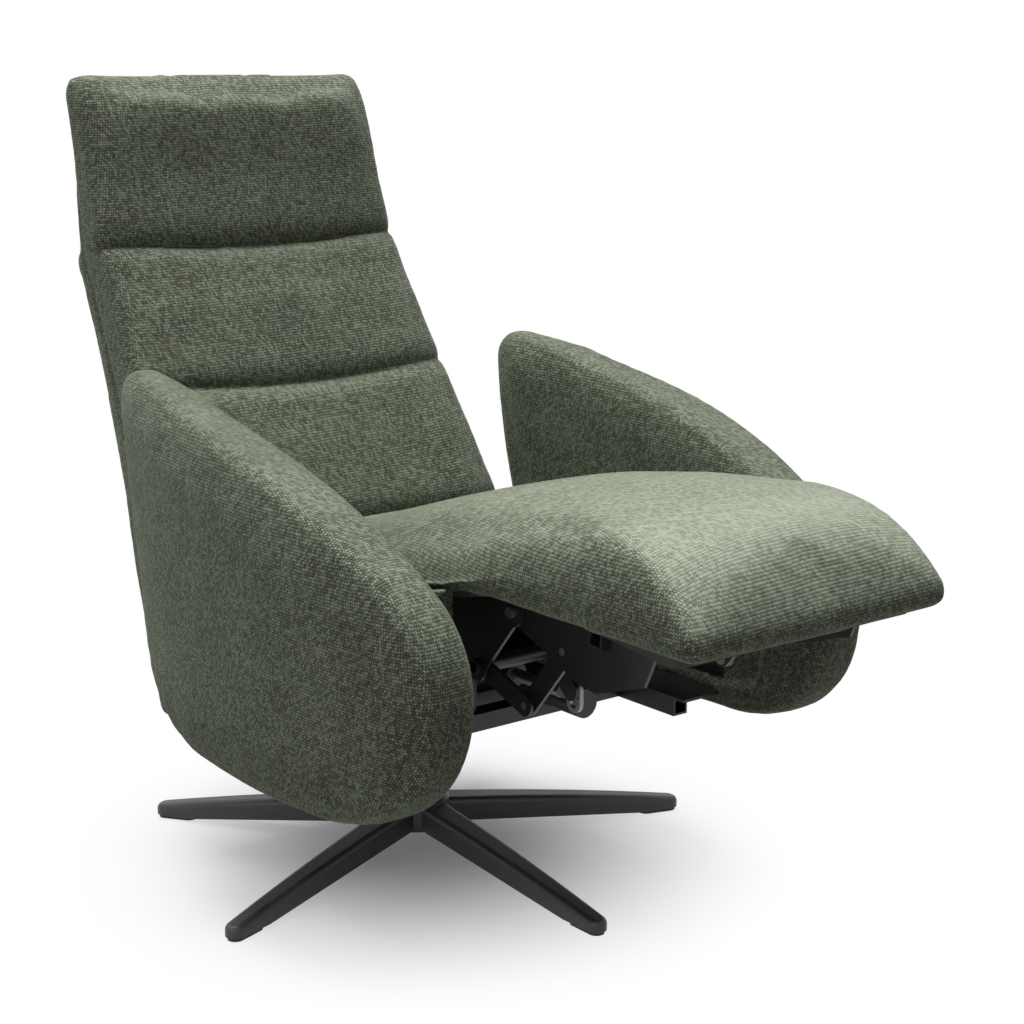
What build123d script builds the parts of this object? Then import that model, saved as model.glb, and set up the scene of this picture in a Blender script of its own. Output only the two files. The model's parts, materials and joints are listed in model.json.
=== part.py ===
from build123d import *

import os
from math import atan2, cos, degrees, hypot, radians, sin, tan

# Swivel recliner: five-star base, two padded arms, a leg rest that folds on open links, a reclining back
# and a headrest that tilts. Millimetres. +Z is up, the sitter faces -Y and has +X on the left hand.
# The origin lies on the floor, on the swivel axis.

# Clearances
RUN = 0.05
SOFT_ROOM = 0.3
LAYER_GAP = 1.5

# Five-star base
STAR_LEGS = 5
STAR_REACH = 410
HUB_RADIUS = 46
HUB_BOTTOM = 30
HUB_TOP = 80
HUB_EDGE = 8
LEG_ROOT_WIDTH = 46
LEG_TIP_WIDTH = 28
LEG_ROOT_TOP = 74
LEG_ROOT_BOTTOM = 40
LEG_TIP_HEIGHT = 15
LEG_CROWN = 4
LEG_EDGE = 8
GLIDE_HEIGHT = 5
GLIDE_LENGTH = 58
GLIDE_INSET = 3

# Swivel
COLUMN_RADIUS = 28
COLUMN_WALL = 8
COLUMN_FLOOR = 40
COLUMN_TOP = 210
BUSH_LENGTH = 66
BUSH_WALL = 4
BUSH_FLANGE = 3
THRUST_GAP = 0.2
SPINDLE_LENGTH = 86
SPINDLE_FLANGE = 6
SPINDLE_FLANGE_RADIUS = 34
TOP_PLATE = 5
TOP_PLATE_WIDTH = 260
TOP_PLATE_CORNER = 14

# Underframe of rectangular tube
TUBE_HEIGHT = 24
TUBE_WIDTH = 30
TUBE_WALL = 3
FRONT_TUBE_Y = -170
MIDDLE_TUBE_Y = -95
REAR_TUBE_Y = 40
RAIL_INNER_X = 220
RAIL_WIDTH = 25
RAIL_FRONT_Y = -300

# Seat and leg rest, measured on the underside of the padding
KNEE_Y = -448
KNEE_Z = 512
SEAT_REAR_Y = 120
SEAT_PAD = 70
SEAT_CROWN = 13
SEAT_PAD_REAR_Y = 158
SEAT_SLOPE = 11.65
FOOT_SLOPE = 5.46
FOOT_END_Y = -783
PAD_GAP = 1
SEAT_HALF_WIDTH = 252
FOOT_HALF_WIDTH = 205
DECK = 12
DECK_HALF_WIDTH = 232
SEAT_RAIL = 20
SEAT_RAIL_HEIGHT = 46
SEAT_RAIL_FRONT_Y = -405
BOARD = 12
BOARD_HALF_WIDTH = 188
BOARD_SETBACK = 12
BOARD_NOSE = 45

# Leg rest linkage
PLATE_INNER_X = 169.5
PLATE = 5
LINK = 5
LINK_WIDTH = 26
PIVOT_Y = -440
PIVOT_Z = 470
HANGER_Y = 70
HANGER_Z = -83
ARM_Y = -85
ARM_Z = -30
EYE_RADIUS = 18
KNEE_PIN_RADIUS = 7
RIVET_RADIUS = 5
RIVET_HEAD = 2
RIVET_HEAD_RADIUS = 9
OPEN_PIVOT_ROOM = 0.3
TORQUE_TUBE_RADIUS = 10
TORQUE_TUBE_WALL = 3
LIP = 4
LIP_WIDTH = 26
CROSSBAR = 22
CROSSBAR_Y = -600

# Leg actuator and its drive ear
LEG_DRIVE_X = -52
LEG_MOUTH_Y = -295
DRIVE_EAR_LENGTH = 60
FOLD_ANGLE = 88
ROD_RADIUS = 8
ROD_EYE = 6
DRIVE_PIN_RADIUS = 5
CYLINDER_RADIUS = 16
CYLINDER_LENGTH = 235
GEARBOX_LENGTH = 58
GEARBOX_WIDTH = 44
GEARBOX_HEIGHT = 52
MOTOR_RADIUS = 20
MOTOR_LENGTH = 72
SADDLE = 6
SADDLE_WIDTH = 56
DRIVE_SLOT_ROOM = 1.9

# Back, measured on its front line
BACK_FOOT_Y = 176
BACK_FOOT_Z = 459
BACK_LEAN = 31.4
BACK_LENGTH = 453
BACK_SEAM = 228
BACK_TOP_HALF_WIDTH = 260
BACK_SEAT_HALF_WIDTH = 282
BACK_FOOT_HALF_WIDTH = 284
BACK_PAD = 32
BACK_CROWN = 11
BACK_PAD_DROP = 22
BACK_SHELL = 58
SHELL_FRONT_Y = 165
SHELL_BOTTOM_Z = 198
SHELL_BOTTOM_DEPTH = 62
SHELL_BEND_Y = 306
SHELL_BEND_Z = 465
SHELL_HOLLOW = 8
SHELL_EDGE = 14
TUCK = 9
BACK_PIVOT_Y = 135
BACK_PIVOT_Z = 360
BACK_PIN_RADIUS = 8
HINGE_FLANGE = 4
HINGE_FLANGE_WIDTH = 40
HINGE_FLANGE_HEIGHT = 110
RECLINE_ANGLE = 30
BACK_DRIVE_X = 52
BACK_LEVER_LENGTH = 85
BACK_LEVER_ANGLE = 275
BACK_DRIVE_ROOM = 1

# Headrest
HEAD_LEAN = 13.8
HEAD_LENGTH = 246
HEAD_TOP_HALF_WIDTH = 249
HEAD_SHELL = 30
HEAD_EDGE = 12
KNUCKLE_RADIUS = 7
HEAD_PIN_RADIUS = 3
HEAD_HINGE_X = 140
LEAF = 3
LEAF_LENGTH = 70
LEAF_WIDTH = 60
HEAD_GAP = 0.6

# Arms: extents in side view, thickness in plan
ARM_FRONT_Y = -524
ARM_REAR_Y = 207
ARM_TOP_Z = 702
ARM_BOTTOM_Z = 212
ARM_INNER_X = 303
ARM_THICKNESS = 85
ARM_FRONT_IN = 31
ARM_FRONT_THICKNESS = 72
ARM_REAR_IN = 13
ARM_REAR_THICKNESS = 42
ARM_BOARD = 12
ARM_BOARD_X = 298
ARM_EDGE = 20
ARM_BRACKET = 4
ARM_BRACKET_HEIGHT = 84
ARM_BRACKET_LENGTH = 130
ARM_BRACKET_FRONT_Y = -255
ARM_BRACKET_REAR_Y = -5
ARM_BOLT_RADIUS = 4
ARM_BOLT_HEAD = 5
ARM_BOLT_HEAD_RADIUS = 8

# Switch panel on the inner side of the right arm, and the battery under the seat
PANEL_Y = -110
PANEL_Z = 600
PANEL_LENGTH = 104
PANEL_HEIGHT = 34
PANEL_FACE_X = -299
PANEL_BEZEL = 3
PANEL_BOX = 24
PANEL_BORDER = 5
BUTTON_RADIUS = 7
BUTTON_PITCH = 22
BUTTON_PROUD = 2.5
BUTTON_DEPTH = 7
BUTTON_TRAVEL = 1.5
BUTTON_ROOM = 0.2
BATTERY_WIDTH = 62
BATTERY_HEIGHT = 50
BATTERY_X = 128

# Derived places
BUSH_RADIUS = COLUMN_RADIUS - COLUMN_WALL - RUN
SPINDLE_RADIUS = BUSH_RADIUS - BUSH_WALL - RUN
SPINDLE_SEAT = COLUMN_TOP + BUSH_FLANGE + THRUST_GAP
PLATE_BOTTOM = SPINDLE_SEAT + SPINDLE_FLANGE
FRAME_BOTTOM = PLATE_BOTTOM + TOP_PLATE
FRAME_TOP = FRAME_BOTTOM + TUBE_HEIGHT
RAIL_OUTER_X = RAIL_INNER_X + RAIL_WIDTH
LINK_X = PLATE_INNER_X - LAYER_GAP - LINK
COUPLER_X = LINK_X - LAYER_GAP - LINK
KNEE = (PIVOT_Y, PIVOT_Z)
FOOT_EYE = (PIVOT_Y + ARM_Y, PIVOT_Z + ARM_Z)
CRANK = (PIVOT_Y + HANGER_Y, PIVOT_Z + HANGER_Z)
CRANK_EYE = (CRANK[0] + ARM_Y, CRANK[1] + ARM_Z)
BACK_PIVOT = (BACK_PIVOT_Y, BACK_PIVOT_Z)
HEAD_TURN = (BACK_LEAN - HEAD_LEAN) / 2
SEAM_LEAN = BACK_LEAN - HEAD_TURN


def seat_under(y):
    """Height of the seat padding's underside at y."""
    return KNEE_Z - (y - KNEE_Y) * tan(radians(SEAT_SLOPE))


def foot_under(y):
    """Height of the leg rest padding's underside at y."""
    return KNEE_Z + (y - KNEE_Y) * tan(radians(FOOT_SLOPE))


def on_back(up, depth):
    """Side view point of the back: up along its front line, depth behind it."""
    lean = radians(BACK_LEAN)
    return (
        BACK_FOOT_Y + up * sin(lean) + depth * cos(lean),
        BACK_FOOT_Z + up * cos(lean) - depth * sin(lean),
    )


SEAM = on_back(BACK_LENGTH, 0)


def on_head(up, depth):
    """Side view point of the headrest: up along its front line, depth behind it."""
    lean = radians(HEAD_LEAN)
    return (
        SEAM[0] + up * sin(lean) + depth * cos(lean),
        SEAM[1] + up * cos(lean) - depth * sin(lean),
    )


def on_seam(depth, up=0.0):
    """Side view point on the plane between back and headrest, depth behind the front lines."""
    lean = radians(SEAM_LEAN)
    run = depth / cos(radians(HEAD_TURN))
    return (
        SEAM[0] + run * cos(lean) + up * sin(lean),
        SEAM[1] - run * sin(lean) + up * cos(lean),
    )


HEAD_AXIS = on_seam(BACK_PAD - KNUCKLE_RADIUS + 1)


def polar(center, radius, angle):
    """Point at a radius and an angle in degrees from a centre."""
    return (center[0] + radius * cos(radians(angle)), center[1] + radius * sin(radians(angle)))


def save(node, piece):
    """Label a finished piece and write it as its own file."""
    piece.part.label = node
    export_step(piece.part, f"parts/{node}.step")


def mirrored(piece):
    """The same piece on the other side of the chair."""
    with BuildPart() as twin:
        mirror(piece.part, about=Plane.YZ)
    return twin


def paired(piece):
    """A piece and its mirror image on the other side of the chair, as one node."""
    with BuildPart() as pair:
        add(piece.part)
        mirror(piece.part, about=Plane.YZ)
    return pair


def outline(points):
    """Closed straight-sided profile in the sketch that calls it."""
    Polygon(*points, align=None)


def bar(x, start, end, width, holes):
    """Flat link between two points in side view, with round ends and a hole radius for each end."""
    run = (end[0] - start[0], end[1] - start[1])
    middle = ((start[0] + end[0]) / 2, (start[1] + end[1]) / 2)
    with BuildPart() as link:
        with BuildSketch(Plane.YZ.offset(x)):
            with Locations(middle):
                SlotCenterToCenter(hypot(*run), width, rotation=degrees(atan2(run[1], run[0])))
            for point, radius in zip((start, end), holes):
                with Locations(point):
                    Circle(radius, mode=Mode.SUBTRACT)
        extrude(amount=LINK)
    return link


def pin(x_from, x_to, place, radius, head_radius, head):
    """Pin across the chair with a flat head on its inner end."""
    with BuildPart() as piece:
        with BuildSketch(Plane.YZ.offset(x_from)):
            with Locations(place):
                Circle(radius)
        extrude(amount=x_to - x_from)
        with BuildSketch(Plane.YZ.offset(x_from)):
            with Locations(place):
                Circle(head_radius)
        extrude(amount=-head)
    return piece


def pad_section(plane, half_width, thickness, crown):
    """Closed section of a cushion: flat under, bowed at the sides, crowned on top."""
    under = half_width - 0.1 * thickness
    top = half_width - 0.28 * thickness
    with BuildSketch(plane) as section:
        with BuildLine():
            Line((-under, 0), (under, 0))
            ThreePointArc((under, 0), (half_width, 0.45 * thickness), (top, thickness))
            ThreePointArc((top, thickness), (0, thickness + crown), (-top, thickness))
            ThreePointArc((-top, thickness), (-half_width, 0.45 * thickness), (-under, 0))
        make_face()
    return section.sketch


def box_tube(plane, width, height, length):
    """Rectangular tube along the plane's normal."""
    with BuildPart() as tube:
        with BuildSketch(plane):
            Rectangle(width, height)
            Rectangle(width - 2 * TUBE_WALL, height - 2 * TUBE_WALL, mode=Mode.SUBTRACT)
        extrude(amount=length / 2, both=True)
    return tube


os.makedirs("parts", exist_ok=True)

# Five-star base: one leg from a side profile and a plan, then five of them round the hub
with BuildPart() as leg:
    with BuildSketch(Plane.XZ):
        with BuildLine():
            tip_top = GLIDE_HEIGHT + LEG_TIP_HEIGHT
            middle_top = (LEG_ROOT_TOP + tip_top) / 2 + LEG_CROWN
            ThreePointArc((0, LEG_ROOT_TOP), (STAR_REACH / 2, middle_top), (STAR_REACH, tip_top))
            Polyline(
                (STAR_REACH, tip_top),
                (STAR_REACH, GLIDE_HEIGHT),
                (STAR_REACH - GLIDE_LENGTH - 2 * GLIDE_INSET, GLIDE_HEIGHT),
                (0, LEG_ROOT_BOTTOM),
                (0, LEG_ROOT_TOP),
            )
        make_face()
    extrude(amount=LEG_ROOT_WIDTH, both=True)
    with BuildSketch(Plane.XY):
        with BuildLine():
            shoulder = STAR_REACH - LEG_TIP_WIDTH / 2
            Polyline((shoulder, LEG_TIP_WIDTH / 2), (0, LEG_ROOT_WIDTH / 2), (0, -LEG_ROOT_WIDTH / 2),
                     (shoulder, -LEG_TIP_WIDTH / 2))
            ThreePointArc((shoulder, -LEG_TIP_WIDTH / 2), (STAR_REACH, 0), (shoulder, LEG_TIP_WIDTH / 2))
        make_face()
    extrude(amount=HUB_TOP, mode=Mode.INTERSECT)
    crown_face = leg.faces().filter_by(lambda face: face.normal_at().Z > 0.5)[0]
    crown_edges = crown_face.edges().filter_by(lambda edge: edge.center().X > HUB_EDGE)
    fillet(crown_edges, LEG_EDGE)

with BuildPart() as star_base:
    with BuildSketch(Plane.XZ):
        outline([
            (0, HUB_BOTTOM),
            (HUB_RADIUS - HUB_EDGE, HUB_BOTTOM),
            (HUB_RADIUS, HUB_BOTTOM + HUB_EDGE),
            (HUB_RADIUS, HUB_TOP - HUB_EDGE),
            (HUB_RADIUS - HUB_EDGE, HUB_TOP),
            (0, HUB_TOP),
        ])
    revolve(axis=Axis.Z)
    with PolarLocations(0, STAR_LEGS, start_angle=-90):
        add(leg.part)
    with BuildSketch(Plane.XY.offset(COLUMN_FLOOR)):
        Circle(COLUMN_RADIUS + RUN)
    extrude(amount=HUB_TOP, mode=Mode.SUBTRACT)
save("star_base", star_base)

with BuildPart() as glide:
    with BuildSketch(Plane.XY):
        with Locations((STAR_REACH - GLIDE_INSET - GLIDE_LENGTH / 2, 0)):
            SlotOverall(GLIDE_LENGTH, LEG_TIP_WIDTH - 2 * GLIDE_INSET)
    extrude(amount=GLIDE_HEIGHT)

with BuildPart() as floor_glides:
    with PolarLocations(0, STAR_LEGS, start_angle=-90):
        add(glide.part)
save("floor_glides", floor_glides)

# Swivel: fixed column and flanged bush, turning spindle and top plate
with BuildPart() as swivel_column:
    with BuildSketch(Plane.XY.offset(COLUMN_FLOOR)):
        Circle(COLUMN_RADIUS)
        Circle(COLUMN_RADIUS - COLUMN_WALL, mode=Mode.SUBTRACT)
    extrude(amount=COLUMN_TOP - COLUMN_FLOOR)
save("swivel_column", swivel_column)

with BuildPart() as swivel_bush:
    with BuildSketch(Plane.XY.offset(COLUMN_TOP)):
        Circle(BUSH_RADIUS)
    extrude(amount=-BUSH_LENGTH)
    with BuildSketch(Plane.XY.offset(COLUMN_TOP)):
        Circle(COLUMN_RADIUS)
    extrude(amount=BUSH_FLANGE)
    with Locations((0, 0, COLUMN_TOP + BUSH_FLANGE)):
        Hole(SPINDLE_RADIUS + RUN)
save("swivel_bush", swivel_bush)

with BuildPart() as swivel_spindle:
    with BuildSketch(Plane.XY.offset(SPINDLE_SEAT)):
        Circle(SPINDLE_RADIUS)
    extrude(amount=-SPINDLE_LENGTH)
    with BuildSketch(Plane.XY.offset(SPINDLE_SEAT)):
        Circle(SPINDLE_FLANGE_RADIUS)
    extrude(amount=SPINDLE_FLANGE)
save("swivel_spindle", swivel_spindle)

with BuildPart() as top_plate:
    plate_length = REAR_TUBE_Y - MIDDLE_TUBE_Y + TUBE_WIDTH
    with BuildSketch(Plane.XY.offset(PLATE_BOTTOM)):
        with Locations((0, (REAR_TUBE_Y + MIDDLE_TUBE_Y) / 2)):
            RectangleRounded(TOP_PLATE_WIDTH, plate_length, TOP_PLATE_CORNER)
    extrude(amount=TOP_PLATE)
save("top_plate", top_plate)

# Underframe
for node, tube_y in (
    ("front_cross_tube", FRONT_TUBE_Y),
    ("middle_cross_tube", MIDDLE_TUBE_Y),
    ("rear_cross_tube", REAR_TUBE_Y),
):
    tube_plane = Plane(
        origin=(0, tube_y, FRAME_BOTTOM + TUBE_HEIGHT / 2), x_dir=(0, 1, 0), z_dir=(1, 0, 0)
    )
    save(node, box_tube(tube_plane, TUBE_WIDTH, TUBE_HEIGHT, 2 * RAIL_INNER_X))

rail_rear = REAR_TUBE_Y + TUBE_WIDTH / 2
rail_plane = Plane(
    origin=(RAIL_INNER_X + RAIL_WIDTH / 2, (RAIL_FRONT_Y + rail_rear) / 2, FRAME_BOTTOM + TUBE_HEIGHT / 2),
    x_dir=(1, 0, 0),
    z_dir=(0, -1, 0),
)
left_base_rail = box_tube(rail_plane, RAIL_WIDTH, TUBE_HEIGHT, rail_rear - RAIL_FRONT_Y)
save("base_rails", paired(left_base_rail))

# Seat side plates with a bent lip under the deck, a hanger for the torque tube and two legs on the tubes
DECK_DROP = DECK / cos(radians(SEAT_SLOPE))
LIP_DROP = LIP / cos(radians(SEAT_SLOPE))


def deck_under(y):
    """Height of the seat deck's underside at y."""
    return seat_under(y) - DECK_DROP


with BuildPart() as left_seat_plate:
    plate_front = PIVOT_Y - EYE_RADIUS
    plate_rear = BACK_PIVOT_Y + EYE_RADIUS
    leg_front = MIDDLE_TUBE_Y - TUBE_WIDTH / 2
    leg_rear = REAR_TUBE_Y + TUBE_WIDTH / 2
    with BuildSketch(Plane.YZ.offset(PLATE_INNER_X)):
        outline([
            (plate_front, PIVOT_Z),
            (plate_front, deck_under(plate_front)),
            (plate_rear, deck_under(plate_rear)),
            (plate_rear, BACK_PIVOT_Z),
            (BACK_PIVOT_Y, BACK_PIVOT_Z - EYE_RADIUS),
            (leg_rear, FRAME_TOP + 1.2 * TUBE_HEIGHT),
            (leg_rear, FRAME_TOP),
            (leg_front, FRAME_TOP),
            (leg_front - TUBE_WIDTH, CRANK[1] - 2 * EYE_RADIUS),
            (CRANK[0] + EYE_RADIUS, CRANK[1] - EYE_RADIUS / 2),
            (CRANK[0], CRANK[1] - EYE_RADIUS),
            (CRANK[0] - EYE_RADIUS, CRANK[1]),
        ])
        for place in (KNEE, CRANK, BACK_PIVOT):
            with Locations(place):
                Circle(EYE_RADIUS)
        with Locations(((MIDDLE_TUBE_Y + REAR_TUBE_Y) / 2, FRAME_TOP)):
            Rectangle(REAR_TUBE_Y - MIDDLE_TUBE_Y - TUBE_WIDTH, 2 * TUBE_HEIGHT, mode=Mode.SUBTRACT)
        for place, hole in (
            (KNEE, KNEE_PIN_RADIUS + RUN),
            (CRANK, TORQUE_TUBE_RADIUS + RUN),
            (BACK_PIVOT, BACK_PIN_RADIUS + RUN),
        ):
            with Locations(place):
                Circle(hole, mode=Mode.SUBTRACT)
        window_y = (CRANK[0] + leg_front) / 2
        with Locations((window_y, deck_under(window_y) - 2 * EYE_RADIUS)):
            SlotOverall((leg_front - CRANK[0]) / 2, 2 * EYE_RADIUS, rotation=-SEAT_SLOPE, mode=Mode.SUBTRACT)
    extrude(amount=PLATE)
    with BuildSketch(Plane.YZ.offset(PLATE_INNER_X)):
        outline([
            (plate_front, deck_under(plate_front)),
            (plate_rear, deck_under(plate_rear)),
            (plate_rear, deck_under(plate_rear) - LIP_DROP),
            (plate_front, deck_under(plate_front) - LIP_DROP),
        ])
    extrude(amount=LIP_WIDTH)
save("left_seat_plate", left_seat_plate)
save("right_seat_plate", mirrored(left_seat_plate))

with BuildPart() as seat_deck:
    deck_front = KNEE_Y + BOARD_SETBACK
    with BuildSketch(Plane.YZ):
        outline([
            (deck_front, seat_under(deck_front)),
            (SEAT_REAR_Y, seat_under(SEAT_REAR_Y)),
            (SEAT_REAR_Y, deck_under(SEAT_REAR_Y)),
            (deck_front, deck_under(deck_front)),
        ])
    extrude(amount=DECK_HALF_WIDTH, both=True)
save("seat_deck", seat_deck)

with BuildPart() as left_seat_rail:
    with BuildSketch(Plane.YZ.offset(DECK_HALF_WIDTH)):
        outline([
            (SEAT_RAIL_FRONT_Y, seat_under(SEAT_RAIL_FRONT_Y) - SOFT_ROOM),
            (SEAT_REAR_Y, seat_under(SEAT_REAR_Y) - SOFT_ROOM),
            (SEAT_REAR_Y, seat_under(SEAT_REAR_Y) - SEAT_RAIL_HEIGHT),
            (SEAT_RAIL_FRONT_Y, seat_under(SEAT_RAIL_FRONT_Y) - SEAT_RAIL_HEIGHT),
        ])
    extrude(amount=SEAT_RAIL)
    fillet(left_seat_rail.edges().filter_by(Axis.Z).sort_by(Axis.X)[-2:], SEAT_RAIL / 3)
save("left_seat_rail", left_seat_rail)
save("right_seat_rail", mirrored(left_seat_rail))

# Seat cushion: crowned sections from the knee to the back
with BuildPart() as seat_cushion:
    seat_front = KNEE_Y + PAD_GAP / 2
    seat_run = SEAT_PAD_REAR_Y - seat_front
    for share, fullness, crown, draw_in in (
        (0.0, 0.95, 0.6, 4),
        (0.12, 0.97, 0.9, 2),
        (0.4, 1.0, 1.1, 0),
        (0.75, 1.06, 0.9, 0),
        (1.0, 1.0, 0.4, 8),
    ):
        section_y = seat_front + share * seat_run
        section_plane = Plane(
            origin=(0, section_y, seat_under(section_y)), x_dir=(1, 0, 0), z_dir=(0, -1, 0)
        )
        add(pad_section(section_plane, SEAT_HALF_WIDTH - draw_in, fullness * SEAT_PAD, crown * SEAT_CROWN))
    loft()
save("seat_cushion", seat_cushion)

# Leg rest cushion: the same section at the knee, running out to a round nose
with BuildPart() as footrest_cushion:
    foot_start = KNEE_Y - PAD_GAP / 2
    foot_run = FOOT_END_Y - foot_start
    knee_half_width = SEAT_HALF_WIDTH - 4
    for share, fullness, crown in (
        (0.0, 0.95, 0.6),
        (0.27, 1.14, 0.8),
        (0.57, 1.3, 0.85),
        (0.75, 1.17, 0.8),
        (0.89, 0.8, 0.6),
        (1.0, 0.23, 0.3),
    ):
        section_y = foot_start + share * foot_run
        half_width = knee_half_width + share * (FOOT_HALF_WIDTH - knee_half_width)
        section_plane = Plane(
            origin=(0, section_y, foot_under(section_y)), x_dir=(1, 0, 0), z_dir=(0, -1, 0)
        )
        add(pad_section(section_plane, half_width, fullness * SEAT_PAD, crown * SEAT_CROWN))
    loft()
save("footrest_cushion", footrest_cushion)

# Leg rest board, brackets and cross bar
BOARD_DROP = BOARD / cos(radians(FOOT_SLOPE))
BOARD_REAR_Y = KNEE_Y - BOARD_SETBACK
BOARD_FRONT_Y = FOOT_END_Y + BOARD_NOSE


def board_under(y):
    """Height of the leg rest board's underside at y."""
    return foot_under(y) - BOARD_DROP


def below_board(y, drop):
    """Side view point at a drop square to the leg rest board's underside."""
    slope = radians(FOOT_SLOPE)
    return (y + drop * sin(slope), board_under(y) - drop * cos(slope))


with BuildPart() as footrest_board:
    with BuildSketch(Plane.YZ):
        outline([
            (BOARD_REAR_Y, foot_under(BOARD_REAR_Y)),
            (BOARD_FRONT_Y, foot_under(BOARD_FRONT_Y)),
            (BOARD_FRONT_Y, board_under(BOARD_FRONT_Y)),
            (BOARD_REAR_Y, board_under(BOARD_REAR_Y)),
        ])
    extrude(amount=BOARD_HALF_WIDTH, both=True)
    fillet(footrest_board.edges().filter_by(Axis.Z).sort_by(Axis.Y)[:2], BOARD)
save("footrest_board", footrest_board)

with BuildPart() as left_footrest_bracket:
    bracket_nose = CROSSBAR_Y - 3 * CROSSBAR
    bracket_heel = FOOT_EYE[0] - 2 * EYE_RADIUS
    lip_rear = FOOT_EYE[0] + EYE_RADIUS
    with BuildSketch(Plane.YZ.offset(LINK_X)):
        outline([
            (PIVOT_Y - EYE_RADIUS / 2, PIVOT_Z + EYE_RADIUS * 0.8),
            (lip_rear, board_under(lip_rear)),
            (bracket_nose - CROSSBAR, board_under(bracket_nose - CROSSBAR)),
            (bracket_nose, FOOT_EYE[1] - EYE_RADIUS / 2),
            (bracket_heel - CROSSBAR, FOOT_EYE[1] - 2 * EYE_RADIUS),
            (bracket_heel + EYE_RADIUS, FOOT_EYE[1] - 1.6 * EYE_RADIUS),
            (FOOT_EYE[0] + EYE_RADIUS / 2, FOOT_EYE[1] - EYE_RADIUS * 0.8),
            (PIVOT_Y + EYE_RADIUS / 2, PIVOT_Z - EYE_RADIUS * 0.8),
        ])
        for place in (KNEE, FOOT_EYE):
            with Locations(place):
                Circle(EYE_RADIUS)
        with Locations(KNEE):
            Circle(KNEE_PIN_RADIUS + RUN, mode=Mode.SUBTRACT)
        with Locations(FOOT_EYE):
            Circle(RIVET_RADIUS + RUN, mode=Mode.SUBTRACT)
        with Locations(below_board(CROSSBAR_Y, CROSSBAR / 2)):
            Rectangle(CROSSBAR + 2 * RUN, CROSSBAR + 2 * RUN, rotation=FOOT_SLOPE, mode=Mode.SUBTRACT)
    extrude(amount=LINK)
    with BuildSketch(Plane.YZ.offset(LINK_X)):
        outline([
            (lip_rear, board_under(lip_rear)),
            (CROSSBAR_Y + CROSSBAR, board_under(CROSSBAR_Y + CROSSBAR)),
            (CROSSBAR_Y + CROSSBAR, board_under(CROSSBAR_Y + CROSSBAR) - LIP),
            (lip_rear, board_under(lip_rear) - LIP),
        ])
    extrude(amount=LIP_WIDTH)
save("left_footrest_bracket", left_footrest_bracket)
save("right_footrest_bracket", mirrored(left_footrest_bracket))

with BuildPart() as footrest_crossbar:
    bar_half = LINK_X + LINK + LIP_WIDTH / 2
    with BuildSketch(Plane.YZ.offset(-bar_half)):
        with Locations(below_board(CROSSBAR_Y, CROSSBAR / 2)):
            Rectangle(CROSSBAR, CROSSBAR, rotation=FOOT_SLOPE)
            Rectangle(
                CROSSBAR - 2 * TUBE_WALL, CROSSBAR - 2 * TUBE_WALL, rotation=FOOT_SLOPE, mode=Mode.SUBTRACT
            )
    extrude(amount=2 * bar_half)
save("footrest_crossbar", footrest_crossbar)

# Crank links on the torque tube, coupler links, and the pins of the parallelogram
left_crank_link = bar(
    LINK_X, CRANK, CRANK_EYE, LINK_WIDTH, (TORQUE_TUBE_RADIUS + RUN, RIVET_RADIUS + RUN)
)
save("left_crank_link", left_crank_link)
save("right_crank_link", mirrored(left_crank_link))

left_coupler_link = bar(
    COUPLER_X, FOOT_EYE, CRANK_EYE, LINK_WIDTH, (RIVET_RADIUS + RUN, RIVET_RADIUS + OPEN_PIVOT_ROOM)
)
save("coupler_links", paired(left_coupler_link))

with BuildPart() as torque_tube:
    tube_half = PLATE_INNER_X + 2 * PLATE
    with BuildSketch(Plane.YZ.offset(-tube_half)):
        with Locations(CRANK):
            Circle(TORQUE_TUBE_RADIUS)
            Circle(TORQUE_TUBE_RADIUS - TORQUE_TUBE_WALL, mode=Mode.SUBTRACT)
    extrude(amount=2 * tube_half)
save("torque_tube", torque_tube)

left_knee_pin = pin(
    LINK_X - LAYER_GAP / 2, PLATE_INNER_X + 2 * PLATE, KNEE, KNEE_PIN_RADIUS, RIVET_HEAD_RADIUS + 2, RIVET_HEAD
)
save("knee_pins", paired(left_knee_pin))

for node, place in (("footrest_rivets", FOOT_EYE), ("crank_rivets", CRANK_EYE)):
    rivet = pin(
        COUPLER_X - LAYER_GAP / 3, LINK_X + LINK, place, RIVET_RADIUS, RIVET_HEAD_RADIUS, RIVET_HEAD
    )
    save(node, paired(rivet))

# Drive ear on the torque tube, with its pin in the slotted end of the leg actuator's rod
FOLD_START = 270 - FOLD_ANGLE / 2
DRIVE_EYE = polar(CRANK, DRIVE_EAR_LENGTH, FOLD_START)
LEG_ROD_Z = CRANK[1] - DRIVE_EAR_LENGTH * (1 + cos(radians(FOLD_ANGLE / 2))) / 2
FOLD_STROKE = 2 * DRIVE_EAR_LENGTH * sin(radians(FOLD_ANGLE / 2))
EAR_X = LEG_DRIVE_X - ROD_EYE / 2 - 1 - LINK
drive_bar = bar(EAR_X, CRANK, DRIVE_EYE, LINK_WIDTH, (TORQUE_TUBE_RADIUS + RUN, DRIVE_PIN_RADIUS / 2))
with BuildPart() as drive_ear:
    add(drive_bar.part)
    with BuildSketch(Plane.YZ.offset(EAR_X)):
        with Locations(DRIVE_EYE):
            Circle(DRIVE_PIN_RADIUS)
    extrude(amount=LINK + ROD_EYE + 4)
save("drive_ear", drive_ear)


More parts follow.
